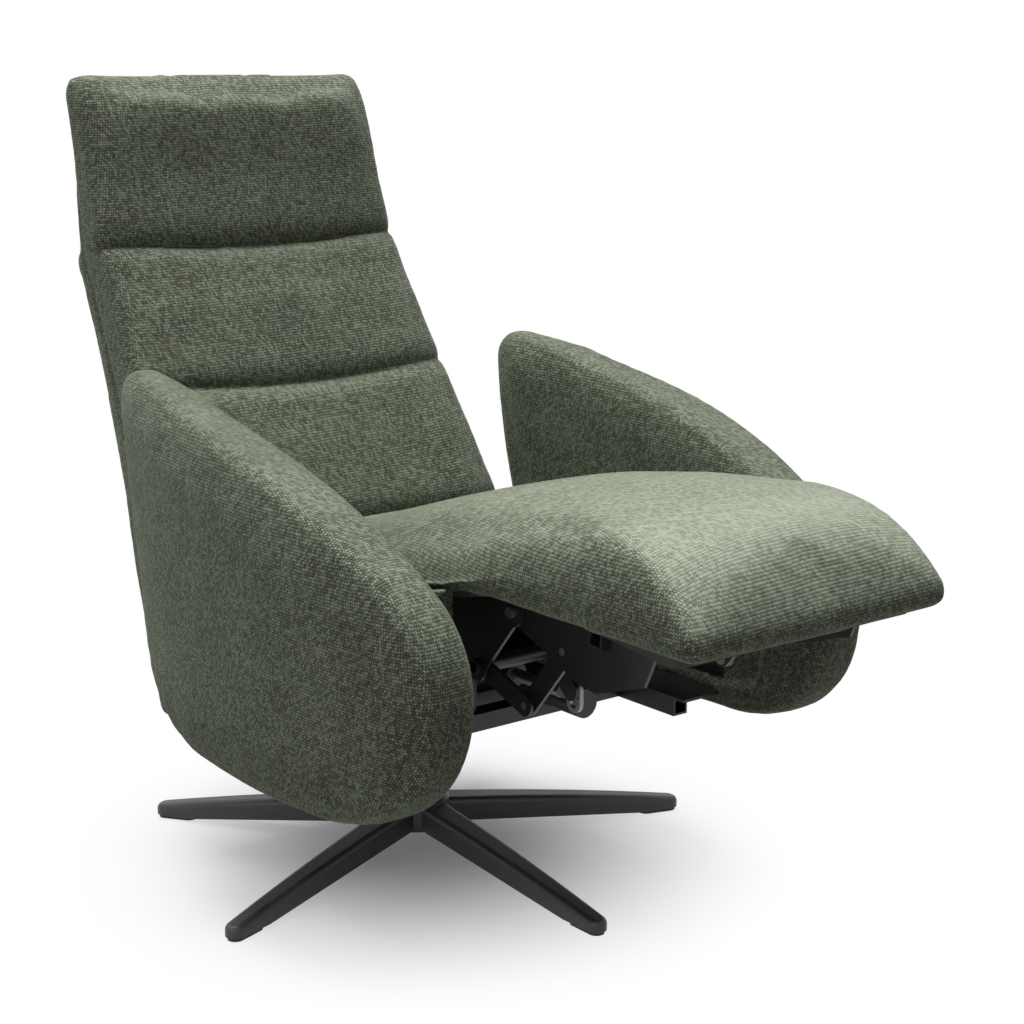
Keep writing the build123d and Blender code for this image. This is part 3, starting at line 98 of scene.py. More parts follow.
class Wire:
    """A shader socket that takes part in Python arithmetic."""

    def __init__(self, bench: "ShaderBench", socket: bpy.types.NodeSocket) -> None:
        """Hold a socket and the bench that it belongs to.

        Args:
            bench: Node tree helper that adds the maths.
            socket: Output socket to wrap.
        """
        self.bench = bench
        self.socket = socket

    def maths(self, operation: str, *others: Operand) -> "Wire":
        """Result of a Math node on this wire and others.

        Args:
            operation: Name of the Math node's operation.
            others: Further operands, wires or numbers.

        Returns:
            The wire of the result.
        """
        inputs = {index: value for index, value in enumerate((self, *others))}
        return self.bench.node("ShaderNodeMath", {"operation": operation}, inputs)

    def __add__(self, other: Operand) -> "Wire":
        """Sum."""
        return self.maths("ADD", other)

    def __radd__(self, other: Number) -> "Wire":
        """Sum with a number on the left."""
        return self.maths("ADD", other)

    def __sub__(self, other: Operand) -> "Wire":
        """Difference."""
        return self.maths("SUBTRACT", other)

    def __rsub__(self, other: Number) -> "Wire":
        """Difference from a number on the left."""
        return self.bench.node("ShaderNodeMath", {"operation": "SUBTRACT"}, {0: other, 1: self})

    def __mul__(self, other: Operand) -> "Wire":
        """Product."""
        return self.maths("MULTIPLY", other)

    def __rmul__(self, other: Number) -> "Wire":
        """Product with a number on the left."""
        return self.maths("MULTIPLY", other)

    def __truediv__(self, other: Operand) -> "Wire":
        """Quotient."""
        return self.maths("DIVIDE", other)


class ShaderBench:
    """Node tree of one material or world, with one method that adds any node."""

    def __init__(self, owner: Union[bpy.types.Material, bpy.types.World]) -> None:
        """Start with an empty node tree.

        Args:
            owner: New material or world.
        """
        self.owner = owner
        owner.use_nodes = True
        self.tree = owner.node_tree
        self.tree.nodes.clear()

    def node(
        self,
        kind: str,
        settings: Optional[dict[str, Any]] = None,
        inputs: Optional[dict[Union[int, str], Any]] = None,
        output: Union[int, str] = 0,
    ) -> Wire:
        """Add a node, set it up and link it.

        Args:
            kind: Type name of the node.
            settings: Properties of the node; "stops" holds a ramp's positions and colours.
            inputs: Values or wires of its sockets by index or name.
            output: Index or name of the output that is wanted.

        Returns:
            The wire of that output.
        """
        made = self.tree.nodes.new(kind)
        for key, value in (settings or {}).items():
            if key == "stops":
                self._set_stops(made.color_ramp, value)
            else:
                setattr(made, key, value)
        for key, value in (inputs or {}).items():
            if isinstance(value, Wire):
                self.tree.links.new(value.socket, made.inputs[key])
            else:
                made.inputs[key].default_value = value
        return Wire(self, made.outputs[output])

    @staticmethod
    def _set_stops(ramp: bpy.types.ColorRamp, stops: Sequence[tuple[float, Sequence[float]]]) -> None:
        """Give a colour ramp its stops."""
        while len(ramp.elements) < len(stops):
            ramp.elements.new(0.5)
        for element, (position, colour) in zip(ramp.elements, stops):
            element.position = position
            element.color = colour

    def place(self) -> Wire:
        """Place on the piece, in metres."""
        return self.node("ShaderNodeTexCoord", None, None, "Object")

    def noise(self, place: Wire, scale: float, detail: float, roughness: float = 0.5) -> Wire:
        """Cloudy noise.

        Args:
            place: Where it is looked up.
            scale: Clouds for each unit of the place.
            detail: Number of finer layers.
            roughness: Weight of the finer layers.

        Returns:
            The wire of the noise, from 0 to 1.
        """
        inputs = {"Vector": place, "Scale": scale, "Detail": detail, "Roughness": roughness}
        return self.node("ShaderNodeTexNoise", None, inputs, "Fac")

    def bump(self, strength: float, distance: float, height: Wire) -> Wire:
        """Normal of a surface with a fine relief.

        Args:
            strength: Share of the relief that shows.
            distance: Height of the relief in metres.
            height: Wire of the relief.

        Returns:
            The wire of the normal.
        """
        inputs = {"Strength": strength, "Distance": distance, "Height": height}
        return self.node("ShaderNodeBump", None, inputs)

    def seen_rays(self) -> Wire:
        """Wire that is 1 for rays of the camera, of reflections and of clear pieces."""
        camera = self.node("ShaderNodeLightPath", None, None, "Is Camera Ray")
        others = camera.socket.node.outputs
        seen = camera.maths("MAXIMUM", Wire(self, others["Is Glossy Ray"]))
        return seen.maths("MAXIMUM", Wire(self, others["Is Transmission Ray"]))

    def mix(self, share: Operand, first: Any, second: Any) -> Wire:
        """Mix two colours by a share.

        Args:
            share: Share of the second colour.
            first: First colour or wire.
            second: Second colour or wire.

        Returns:
            The wire of the mixed colour.
        """
        inputs = {"Factor": share, 6: first, 7: second}
        return self.node("ShaderNodeMix", {"data_type": "RGBA"}, inputs, 2)

    def surface(self, inputs: dict[str, Any]) -> bpy.types.Material:
        """Finish the material with one principled surface.

        Args:
            inputs: Values or wires of the principled shader's sockets.

        Returns:
            The finished material.
        """
        return self.close(self.node("ShaderNodeBsdfPrincipled", None, inputs))

    def close(self, shader: Wire) -> Union[bpy.types.Material, bpy.types.World]:
        """Lead a shader to the output.

        Args:
            shader: Wire of the shader.

        Returns:
            The finished material or world.
        """
        world = isinstance(self.owner, bpy.types.World)
        end = self.tree.nodes.new("ShaderNodeOutputWorld" if world else "ShaderNodeOutputMaterial")
        self.tree.links.new(shader.socket, end.inputs["Surface"])
        return self.owner


def scaled(colour: Colour, factor: float, lift: float = 0.0) -> Colour:
    """Lighter or darker tone of a colour.

    Args:
        colour: Scene-linear colour with alpha.
        factor: Factor of each part.
        lift: Amount added to each part.

    Returns:
        The new colour, no part over 1.
    """
    return tuple(min(1.0, factor * part + lift) for part in colour[:3]) + (1.0,)


@dataclass(frozen=True)
class Chenille:
    """Heathered chenille: offset rows of plump nubs, each with its own tone, with painted shade in the seams
    and a painted highlight where it faces up and forward.
    """

    name: str = "sage_chenille"
    nub_width: float = 0.0044
    nub_height: float = 0.0027
    slant: tuple[float, float] = (0.8, 0.6)
    row_shift: float = 0.43
    row_wander: float = 0.35
    column_wander: float = 0.3
    dark: Colour = linear(42, 46, 36)
    middle: Colour = linear(93, 98, 82)
    light: Colour = linear(152, 160, 140)
    pale: Colour = linear(194, 203, 184)
    # Colour of the painted shade in the seams.
    seam: Colour = linear(42, 46, 36)
    sheen: Colour = linear(205, 218, 196)
    tone_floor: float = 0.33
    # Strength of the painted highlight on faces that look up and forward.
    painted_top_light_gain: float = 0.34
    relief: float = 0.0016

    def material(self) -> bpy.types.Material:
        """Build the cloth.

        Returns:
            The finished material.
        """
        bench = ShaderBench(bpy.data.materials.new(self.name))
        weave = bench.node("ShaderNodeUVMap", {"uv_map": "weave"})
        along = bench.node("ShaderNodeSeparateXYZ", None, {0: weave}, 0)
        across = Wire(bench, along.socket.node.outputs[1])
        place = bench.place()
        wander = bench.noise(place, 90.0, 2.0)
        ahead, aside = self.slant
        rows = (along * ahead + across * aside) / self.nub_height + wander * self.row_wander
        row = rows.maths("FLOOR")
        columns = (across * ahead - along * aside) / self.nub_width
        columns = columns + row * self.row_shift + wander * self.column_wander
        column = columns.maths("FLOOR")
        swell = [(step.maths("FRACT") * math.pi).maths("SINE") for step in (columns, rows)]
        nub = swell[0] * swell[1]
        cell = bench.node("ShaderNodeCombineXYZ", None, {0: column, 1: row})
        yarn = bench.node("ShaderNodeTexWhiteNoise", {"noise_dimensions": "2D"}, {"Vector": cell}, "Value")
        fibre = bench.noise(place, 420.0, 3.0, 0.7)
        cloud = bench.noise(place, 9.0, 4.0, 0.6)
        # Painted highlight: the cloth is lightened where it faces up and forward, as if lit from above.
        painted_top_light = bench.node("ShaderNodeAttribute", {"attribute_name": "painted_top_light"}, None, "Fac")
        tone = yarn * 0.32 + nub * 0.38 + fibre * 0.36 + cloud * 0.22 - self.tone_floor + painted_top_light * self.painted_top_light_gain
        stops = [(0.0, self.dark), (0.28, self.middle), (0.6, self.light), (0.92, self.pale)]
        ramp = bench.node("ShaderNodeValToRGB", {"stops": stops}, {"Fac": tone})
        # Painted shade: the seams are mixed towards the seam colour, a shade painted into the grooves.
        pressed_seam_shade = bench.node("ShaderNodeAttribute", {"attribute_name": "pressed_seam_shade"}, None, "Fac")
        return bench.surface({
            "Base Color": bench.mix(pressed_seam_shade, ramp, self.seam),
            "Roughness": 0.93,
            "Normal": bench.bump(0.55, self.relief, nub * 0.7 + fibre * 0.5 + yarn * 0.25),
            "Sheen Weight": 0.5,
            "Sheen Roughness": 0.38,
            "Sheen Tint": self.sheen,
            "Specular IOR Level": 0.2,
        })


@dataclass(frozen=True)
class PowderCoat:
    """Matt black coat with a fine orange-peel grain."""

    name: str
    colour: Colour
    rough: float = 0.5
    grain: float = 900.0
    depth: float = 0.12

    def material(self) -> bpy.types.Material:
        """Build the coat.

        Returns:
            The finished material.
        """
        bench = ShaderBench(bpy.data.materials.new(self.name))
        place = bench.place()
        peel = bench.noise(place, self.grain, 2.0)
        patch = bench.noise(place, 14.0, 5.0, 0.65)
        return bench.surface({
            "Base Color": bench.mix(patch * 0.5 + peel * 0.2, self.colour, scaled(self.colour, 1.9)),
            "Roughness": self.rough + patch * 0.16 - 0.08,
            "Normal": bench.bump(self.depth, 0.0004, peel),
            "Specular IOR Level": 0.45,
        })


@dataclass(frozen=True)
class DullSteel:
    """Zinc-plated steel with drawn streaks and cloudy tarnish."""

    name: str = "dull_steel"
    colour: Colour = linear(150, 151, 153)

    def material(self) -> bpy.types.Material:
        """Build the metal.

        Returns:
            The finished material.
        """
        bench = ShaderBench(bpy.data.materials.new(self.name))
        place = bench.place()
        stretched = bench.node("ShaderNodeMapping", None, {"Vector": place, "Scale": (900.0, 40.0, 900.0)})
        streak = bench.noise(stretched, 1.0, 3.0)
        cloud = bench.noise(place, 30.0, 4.0)
        return bench.surface({
            "Base Color": bench.mix(cloud * 0.8, self.colour, scaled(self.colour, 0.55)),
            "Metallic": 0.95,
            "Roughness": 0.3 + streak * 0.2 + cloud * 0.12,
        })


@dataclass(frozen=True)
class Moulding:
    """Moulded plastic with a spark-eroded texture."""

    name: str
    colour: Colour
    rough: float = 0.55

    def material(self) -> bpy.types.Material:
        """Build the plastic.

        Returns:
            The finished material.
        """
        bench = ShaderBench(bpy.data.materials.new(self.name))
        place = bench.place()
        spark = bench.node("ShaderNodeTexVoronoi", None, {"Vector": place, "Scale": 1500.0}, "Distance")
        smear = bench.noise(place, 22.0, 4.0)
        return bench.surface({
            "Base Color": bench.mix(smear * 0.7, self.colour, scaled(self.colour, 1.5, 0.004)),
            "Roughness": self.rough + smear * 0.14 - 0.07,
            "Normal": bench.bump(0.1, 0.0003, spark),
        })


@dataclass(frozen=True)
class FacedBoard:
    """Black-faced plywood with a faint long grain."""

    name: str = "faced_board"
    colour: Colour = linear(30, 30, 29)
    grain_colour: Colour = linear(50, 49, 46)

    def material(self) -> bpy.types.Material:
        """Build the board.

        Returns:
            The finished material.
        """
        bench = ShaderBench(bpy.data.materials.new(self.name))
        place = bench.place()
        drawn = bench.node("ShaderNodeMapping", None, {"Vector": place, "Scale": (220.0, 12.0, 220.0)})
        grain = bench.noise(drawn, 1.0, 5.0)
        return bench.surface({
            "Base Color": bench.mix(grain, self.colour, self.grain_colour),
            "Roughness": 0.62 + grain * 0.2,
            "Normal": bench.bump(0.2, 0.0005, grain),
        })


class Workshop:
    """Hand moves on meshes that every sub-assembly uses."""

    MERGE_DISTANCE = 0.00002

    @staticmethod
    def clear_selection() -> None:
        """Deselect everything and leave edit mode."""
        if bpy.context.object is not None and bpy.context.object.mode != "OBJECT":
            bpy.ops.object.mode_set(mode="OBJECT")
        bpy.ops.object.select_all(action="DESELECT")

    @classmethod
    def pick(cls, piece: bpy.types.Object) -> None:
        """Make a piece the only selected and active object.

        Args:
            piece: Object to pick.
        """
        cls.clear_selection()
        piece.select_set(True)
        bpy.context.view_layer.objects.active = piece

    @classmethod
    def copy_nodes(cls, name: str, nodes: Sequence[str]) -> bpy.types.Object:
        """Join copies of CAD nodes into one new piece with merged points.

        Args:
            name: Name of the new piece.
            nodes: Names of the nodes to copy.

        Returns:
            The new piece at the origin.
        """
        copies = []
        for node in nodes:
            source = frame["nodes"][node]
            twin = bpy.data.objects.new(name, source.data.copy())
            bpy.context.scene.collection.objects.link(twin)
            copies.append(twin)
        cls.clear_selection()
        for twin in copies:
            twin.select_set(True)
        bpy.context.view_layer.objects.active = copies[0]
        if len(copies) > 1:
            bpy.ops.object.join()
        piece = copies[0]
        piece.name = name
        piece.data.materials.clear()
        for key in [key for key in piece.keys() if key.startswith("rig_")]:
            del piece[key]
        cls.pick(piece)
        bpy.ops.object.mode_set(mode="EDIT")
        bpy.ops.mesh.select_all(action="SELECT")
        bpy.ops.mesh.remove_doubles(threshold=cls.MERGE_DISTANCE)
        bpy.ops.object.mode_set(mode="OBJECT")
        return piece

    @staticmethod
    def _rows(piece: bpy.types.Object, key: str) -> np.ndarray:
        """Vectors of a mesh's points as rows of x, y and z."""
        found = np.zeros(len(piece.data.vertices) * 3, np.float64)
        piece.data.vertices.foreach_get(key, found)
        return found.reshape(-1, 3)

    @classmethod
    def points(cls, piece: bpy.types.Object) -> np.ndarray:
        """Places of a mesh's points."""
        return cls._rows(piece, "co")

    @classmethod
    def normals(cls, piece: bpy.types.Object) -> np.ndarray:
        """Normals at a mesh's points."""
        return cls._rows(piece, "normal")

    @staticmethod
    def set_points(piece: bpy.types.Object, points: np.ndarray) -> None:
        """Put the points of a mesh in new places.

        Args:
            piece: Object whose mesh is moved.
            points: New places, one row for each point.
        """
        piece.data.vertices.foreach_set("co", points.astype(np.float32).ravel())
        piece.data.update()

    @classmethod
    def apply(cls, piece: bpy.types.Object, kind: str, **settings: Any) -> None:
        """Add a modifier, set it up and apply it.

        Args:
            piece: Object that gets the modifier.
            kind: Type of the modifier.
            settings: Properties of the modifier.
        """
        cls.pick(piece)
        modifier = piece.modifiers.new(kind.lower(), kind)
        for key, value in settings.items():
            setattr(modifier, key, value)
        bpy.ops.object.modifier_apply(modifier=modifier.name)

    @classmethod
    def smooth(cls, piece: bpy.types.Object) -> None:
        """Shade a piece smooth.

        Args:
            piece: Object to shade.
        """
        cls.pick(piece)
        bpy.ops.object.shade_smooth()


@dataclass
class Stuffing:
    """How a padded piece is filled.

    The cover is drawn in, filled with air, kept within a cap of its solid and then plumped by an even layer.
    """

    voxel: float = 0.008
    draw_in: float = 0.002
    pressure: float = 6.0
    cap: float = 0.012
    relax: int = 3
    plump: float = 0.006
    refine: bool = True
    frames: int = 20


class Upholsterer:
    """Makes padded pieces: copies the solid, remeshes it, fills it with air and finishes its cloth."""

    # Way and sharpness of the painted highlight that lightens cloth facing up and forward.
    PAINTED_LIGHT_WAY = np.array((0.0, -0.4, 0.917))
    PAINTED_LIGHT_POWER = 4.0

    def __init__(self, cloth: bpy.types.Material) -> None:
        """Keep the cloth that every cover is cut from.

        Args:
            cloth: Finished cloth material.
        """
        self.cloth = cloth

    def pad(
        self,
        name: str,
        nodes: Sequence[str],
        stuffing: Stuffing,
        draw: Optional[Callable[[np.ndarray], np.ndarray]] = None,
    ) -> bpy.types.Object:
        """Stuffed body in the place of some soft solids.

        Args:
            name: Name of the new piece.
            nodes: Soft solids that it starts from.
            stuffing: How it is filled.
            draw: Move of the solids' points before they are joined.

        Returns:
            The new piece, not yet dressed.
        """
        piece = Workshop.copy_nodes(name, nodes)
        if draw is not None:
            Workshop.set_points(piece, draw(Workshop.points(piece)))
        Workshop.apply(piece, "REMESH", mode="VOXEL", voxel_size=stuffing.voxel, use_smooth_shade=True)
        Workshop.apply(piece, "SMOOTH", factor=0.5, iterations=stuffing.relax)
        target = Workshop.points(piece)
        Workshop.set_points(piece, target - stuffing.draw_in * Workshop.normals(piece))
        self._fill(piece, stuffing)
        moved = Workshop.points(piece) - target
        length = np.maximum(np.linalg.norm(moved, axis=1, keepdims=True), 1e-9)
        kept = stuffing.cap * np.tanh(length / stuffing.cap) / length
        Workshop.set_points(piece, target + moved * kept)
        Workshop.set_points(piece, Workshop.points(piece) + stuffing.plump * Workshop.normals(piece))
        if stuffing.refine:
            Workshop.apply(piece, "SUBSURF", levels=1, render_levels=1)
        Workshop.smooth(piece)
        log.info("%s: %d points", name, len(piece.data.vertices))
        return piece

    @staticmethod
    def _fill(piece: bpy.types.Object, stuffing: Stuffing) -> None:
        """Blow a closed cover up with air and keep the result."""
        Workshop.pick(piece)
        modifier = piece.modifiers.new("stuffing", "CLOTH")
        settings = modifier.settings
        settings.quality = 4
        settings.mass = 0.3
        settings.tension_stiffness = 18
        settings.compression_stiffness = 18
        settings.shear_stiffness = 6
        settings.bending_stiffness = 0.4
        settings.use_pressure = True
        settings.uniform_pressure_force = stuffing.pressure
        settings.effector_weights.gravity = 0.0
        modifier.collision_settings.use_collision = False
        modifier.point_cache.frame_start = 1
        modifier.point_cache.frame_end = stuffing.frames
        scene = bpy.context.scene
        for step in range(1, stuffing.frames + 1):
            scene.frame_set(step)
        bpy.ops.object.modifier_apply(modifier=modifier.name)
        scene.frame_set(1)

    def dress(
        self,
        piece: bpy.types.Object,
        body: Optional[Body],
        nodes: Sequence[str],
        fill: float,
        painted_top_light: float = 0.3,
    ) -> None:
        """Give a padded piece its weave map, cloth, layer of painted highlight and place in the chair.

        Args:
            piece: Finished padded piece.
            body: Body that it rides on, or None where it spans two and is attached to none.
            nodes: CAD nodes that it stands for.
            fill: How tightly it is filled, from 0 to 1; not used.
            painted_top_light: How much lighter the cloth is painted where it faces up and forward, a painted
                highlight in place of the overhead light.
        """
        Workshop.pick(piece)
        for layer in list(piece.data.uv_layers):
            piece.data.uv_layers.remove(layer)
        piece.data.uv_layers.new(name="weave")
        bpy.ops.object.mode_set(mode="EDIT")
        bpy.ops.mesh.select_all(action="SELECT")
        bpy.ops.uv.cube_project(cube_size=1.0, correct_aspect=False)
        bpy.ops.object.mode_set(mode="OBJECT")
        # Layer of painted seam shade, zero until a seam is pressed.
        if "pressed_seam_shade" not in piece.data.attributes:
            piece.data.attributes.new("pressed_seam_shade", "FLOAT", "POINT")
        # Painted highlight: lighter where the normal faces up and forward.
        facing = np.clip(Workshop.normals(piece) @ self.PAINTED_LIGHT_WAY, 0, 1)
        painted_light_layer = piece.data.attributes.new("painted_top_light", "FLOAT", "POINT")
        painted_light_layer.data.foreach_set("value", (painted_top_light * facing ** self.PAINTED_LIGHT_POWER).astype(np.float32))
        piece.data.materials.clear()
        piece.data.materials.append(self.cloth)
        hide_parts(*nodes)
        if body is not None:
            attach(piece, body.value)
        log.info("%s dressed in cloth", piece.name)

    @staticmethod
    def pressed_seam_shade(piece: bpy.types.Object, depth: np.ndarray, shade: np.ndarray) -> None:
        """Press a seam into a piece and paint shade into it.

        Args:
            piece: Padded piece.
            depth: How far each point sinks along its normal, in metres.
            shade: Share of the seam's shade at each point.
        """
        points = Workshop.points(piece) - depth[:, None] * Workshop.normals(piece)
        Workshop.set_points(piece, points)
        layer = piece.data.attributes.get("pressed_seam_shade") or piece.data.attributes.new("pressed_seam_shade", "FLOAT", "POINT")
        kept = np.zeros(len(piece.data.vertices), np.float32)
        layer.data.foreach_get("value", kept)
        layer.data.foreach_set("value", np.maximum(kept, shade).astype(np.float32))


def ridge(distance: np.ndarray, width: float) -> np.ndarray:
    """Bell curve of a distance, 1 on the line.

    Args:
        distance: Distances from the line.
        width: Half width of the bell.

    Returns:
        Values from 0 to 1.
    """
    return np.exp(-((distance / width) ** 2))


@dataclass
class BackLine:
    """Side view of the back: where its front line starts, how it leans, and where it is sewn."""

    foot_y: float = 0.176
    foot_z: float = 0.459
    lean: float = 31.4
    length: float = 0.453
    seam: float = 0.228
    head_lean: float = 13.8
    head_length: float = 0.246

    def upward(self, lean: float) -> np.ndarray:
        """Unit vector up a line that leans back by some degrees."""
        return np.array([0.0, math.sin(math.radians(lean)), math.cos(math.radians(lean))])

    def rearward(self, lean: float) -> np.ndarray:
        """Unit vector behind a line that leans back by some degrees."""
        return np.array([0.0, math.cos(math.radians(lean)), -math.sin(math.radians(lean))])

    @property
    def foot(self) -> np.ndarray:
        """Foot of the front line."""
        return np.array([0.0, self.foot_y, self.foot_z])

    @property
    def neck(self) -> np.ndarray:
        """Place of the headrest's seam on the front line."""
        return self.foot + self.length * self.upward(self.lean)

    @property
    def neck_lean(self) -> float:
        """Lean of the line that halves the bend at the headrest's seam."""
        return (self.lean + self.head_lean) / 2

    def over_neck(self, points: np.ndarray) -> np.ndarray:
        """Distance of points above the headrest's seam."""
        return (points - self.neck) @ self.upward(self.neck_lean)

    def up(self, points: np.ndarray) -> np.ndarray:
        """Distance of points up the bent front line."""
        below = (points - self.foot) @ self.upward(self.lean)
        above = self.length + (points - self.neck) @ self.upward(self.head_lean)
        return np.where(self.over_neck(points) < 0, below, above)

    def depth(self, points: np.ndarray) -> np.ndarray:
        """Distance of points behind the bent front line."""
        below = (points - self.foot) @ self.rearward(self.lean)
        above = (points - self.neck) @ self.rearward(self.head_lean)
        return np.where(self.over_neck(points) < 0, below, above)


@dataclass
class Back:
    """Reclining back and tilting headrest under one cover with two tucked seams."""

    upholsterer: Upholsterer
    line: BackLine = field(default_factory=BackLine)
    sag: float = 0.022
    half_width: float = 0.27
    side_seam: float = 0.055
    neck_room: float = 0.012
    neck_reach: float = 0.05
    bend: float = 0.035
    tuck_reach: float = 0.025
    tuck_lip: float = -0.004
    tuck_depth: float = 0.0045
    tuck_floor: float = 0.042
    tuck_blend: float = 1.6
    flank_start: float = 0.005
    flank_width: float = 0.035
    spread: float = 0.045
    spread_height: float = 0.36
    head_stretch: float = 0.010
    head_taper: float = 0.35
    head_front: float = 0.03
    sag_depth: float = 0.05
    sag_reach: float = 0.08
    sew_depth: float = 0.06
    tuck_sink: float = 0.002
    tuck_width: float = 0.005
    tuck_shade: float = 0.35
    shade_width: float = 0.003
    side_sink: float = 0.0025
    side_width: float = 0.004
    side_shade: float = 0.3
    fill: float = 0.75

    def build(self) -> None:
        """Make the cover over the back and the headrest."""
        nodes = ["back_shell", "lower_back_cushion", "middle_back_cushion"]
        nodes += ["headrest_shell", "headrest_cushion"]
        cover = self.upholsterer.pad("back_cover", nodes, Stuffing(plump=0.008), self._close_neck)
        self._fill_tucks(cover)
        self._spread_foot(cover)
        self._shape_head(cover)
        self._sag_seams(cover)
        self._sew(cover)
        self.upholsterer.dress(cover, None, nodes, self.fill)
        step = self.bend * self.line.upward(self.line.neck_lean)
        self.line.neck - step
        self.line.neck + step
        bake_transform(cover)

    def _close_neck(self, points: np.ndarray) -> np.ndarray:
        """Draw both sides of the headrest's seam together until they meet.

        Args:
            points: Points of the solids.

        Returns:
            The moved points.
        """
        over = self.line.over_neck(points)
        share = np.clip(1 - np.abs(over) / self.neck_reach, 0, 1)
        move = -np.sign(over) * self.neck_room * np.sqrt(share)
        return points + move[:, None] * self.line.upward(self.line.neck_lean)

    def _fill_tucks(self, cover: bpy.types.Object) -> None:
        """Keep the tucks of the front shallow, so that they read as sewn folds.

        Args:
            cover: Cover to move.
        """
        points = Workshop.points(cover)
        up = self.line.up(points)
        depth = self.line.depth(points)
        inside = self.half_width + self.flank_start - np.abs(points[:, 0])
        flank = np.clip(inside / self.flank_width, 0, 1)
        for seam, lean in ((self.line.seam, self.line.lean), (self.line.length, self.line.neck_lean)):
            share = np.clip(self.tuck_blend - np.abs(up - seam) / self.tuck_reach, 0, 1) * flank
            share = share * ((depth > self.tuck_lip) & (depth < self.tuck_floor))
            shallow = self.tuck_lip + self.tuck_depth * np.tanh((depth - self.tuck_lip) / self.tuck_depth)
            points = points + (share * (shallow - depth))[:, None] * self.line.rearward(lean)
        Workshop.set_points(cover, points)

    def _spread_foot(self, cover: bpy.types.Object) -> None:
        """Widen the lowest part of the cover, where it is pressed between the arms.

        Args:
            cover: Cover to move.
        """
        points = Workshop.points(cover)
        low = np.clip(1 - self.line.up(points) / self.spread_height, 0, 1)
        points[:, 0] *= 1 + self.spread * low
        Workshop.set_points(cover, points)

    def _shape_head(self, cover: bpy.types.Object) -> None:
        """Stretch the headrest a little and thin it towards its top.

        Args:
            cover: Cover to move.
        """
        points = Workshop.points(cover)
        share = np.clip(self.line.over_neck(points) / self.line.head_length, 0, 1.1)
        rearward = self.line.rearward(self.line.head_lean)
        behind = np.clip((points - self.line.neck) @ rearward - self.head_front, 0, None)
        points += (self.head_stretch * share)[:, None] * self.line.upward(self.line.head_lean)
        points -= (self.head_taper * share * behind)[:, None] * rearward
        Workshop.set_points(cover, points)

    def _hang(self, points: np.ndarray) -> np.ndarray:
        """How far a seam hangs below its ends at the width of each point."""
        return self.sag * np.clip(1 - (points[:, 0] / self.half_width) ** 2, 0, 1)

    def _sag_seams(self, cover: bpy.types.Object) -> None:
        """Let the tucked seams hang lower at mid width than at the edges.

        Args:
            cover: Cover to move.
        """
        points = Workshop.points(cover)
        up = self.line.up(points)
        front = np.clip(1 - self.line.depth(points) / self.sag_depth, 0, 1)
        bells = [ridge(up - seam, self.sag_reach) for seam in (self.line.seam, self.line.length)]
        drop = np.maximum(*bells)
        fall = (self._hang(points) * front * drop)[:, None]
        Workshop.set_points(cover, points - fall * self.line.upward(self.line.neck_lean))

    def _sew(self, cover: bpy.types.Object) -> None:
        """Press the tucks of the front and the long seam of the sides, and paint shade into them.

        Args:
            cover: Cover to sew.
        """
        points = Workshop.points(cover)
        normals = Workshop.normals(cover)
        up = self.line.up(points)
        depth = self.line.depth(points)
        sink = np.zeros(len(points))
        shade = np.zeros(len(points))
        front = np.clip(1 - depth / self.sew_depth, 0, 1)
        for seam in (self.line.seam, self.line.length):
            away = up - seam + self._hang(points)
            sink += self.tuck_sink * ridge(away, self.tuck_width) * front
            shade = np.maximum(shade, self.tuck_shade * ridge(away, self.shade_width) * front)
        sides = np.clip(np.abs(normals[:, 0]) * 2 - 0.8, 0, 1)
        near = ridge(depth - self.side_seam, self.side_width) * sides
        sink += self.side_sink * near
        shade = np.maximum(shade, self.side_shade * near)
        Upholsterer.pressed_seam_shade(cover, sink, shade)


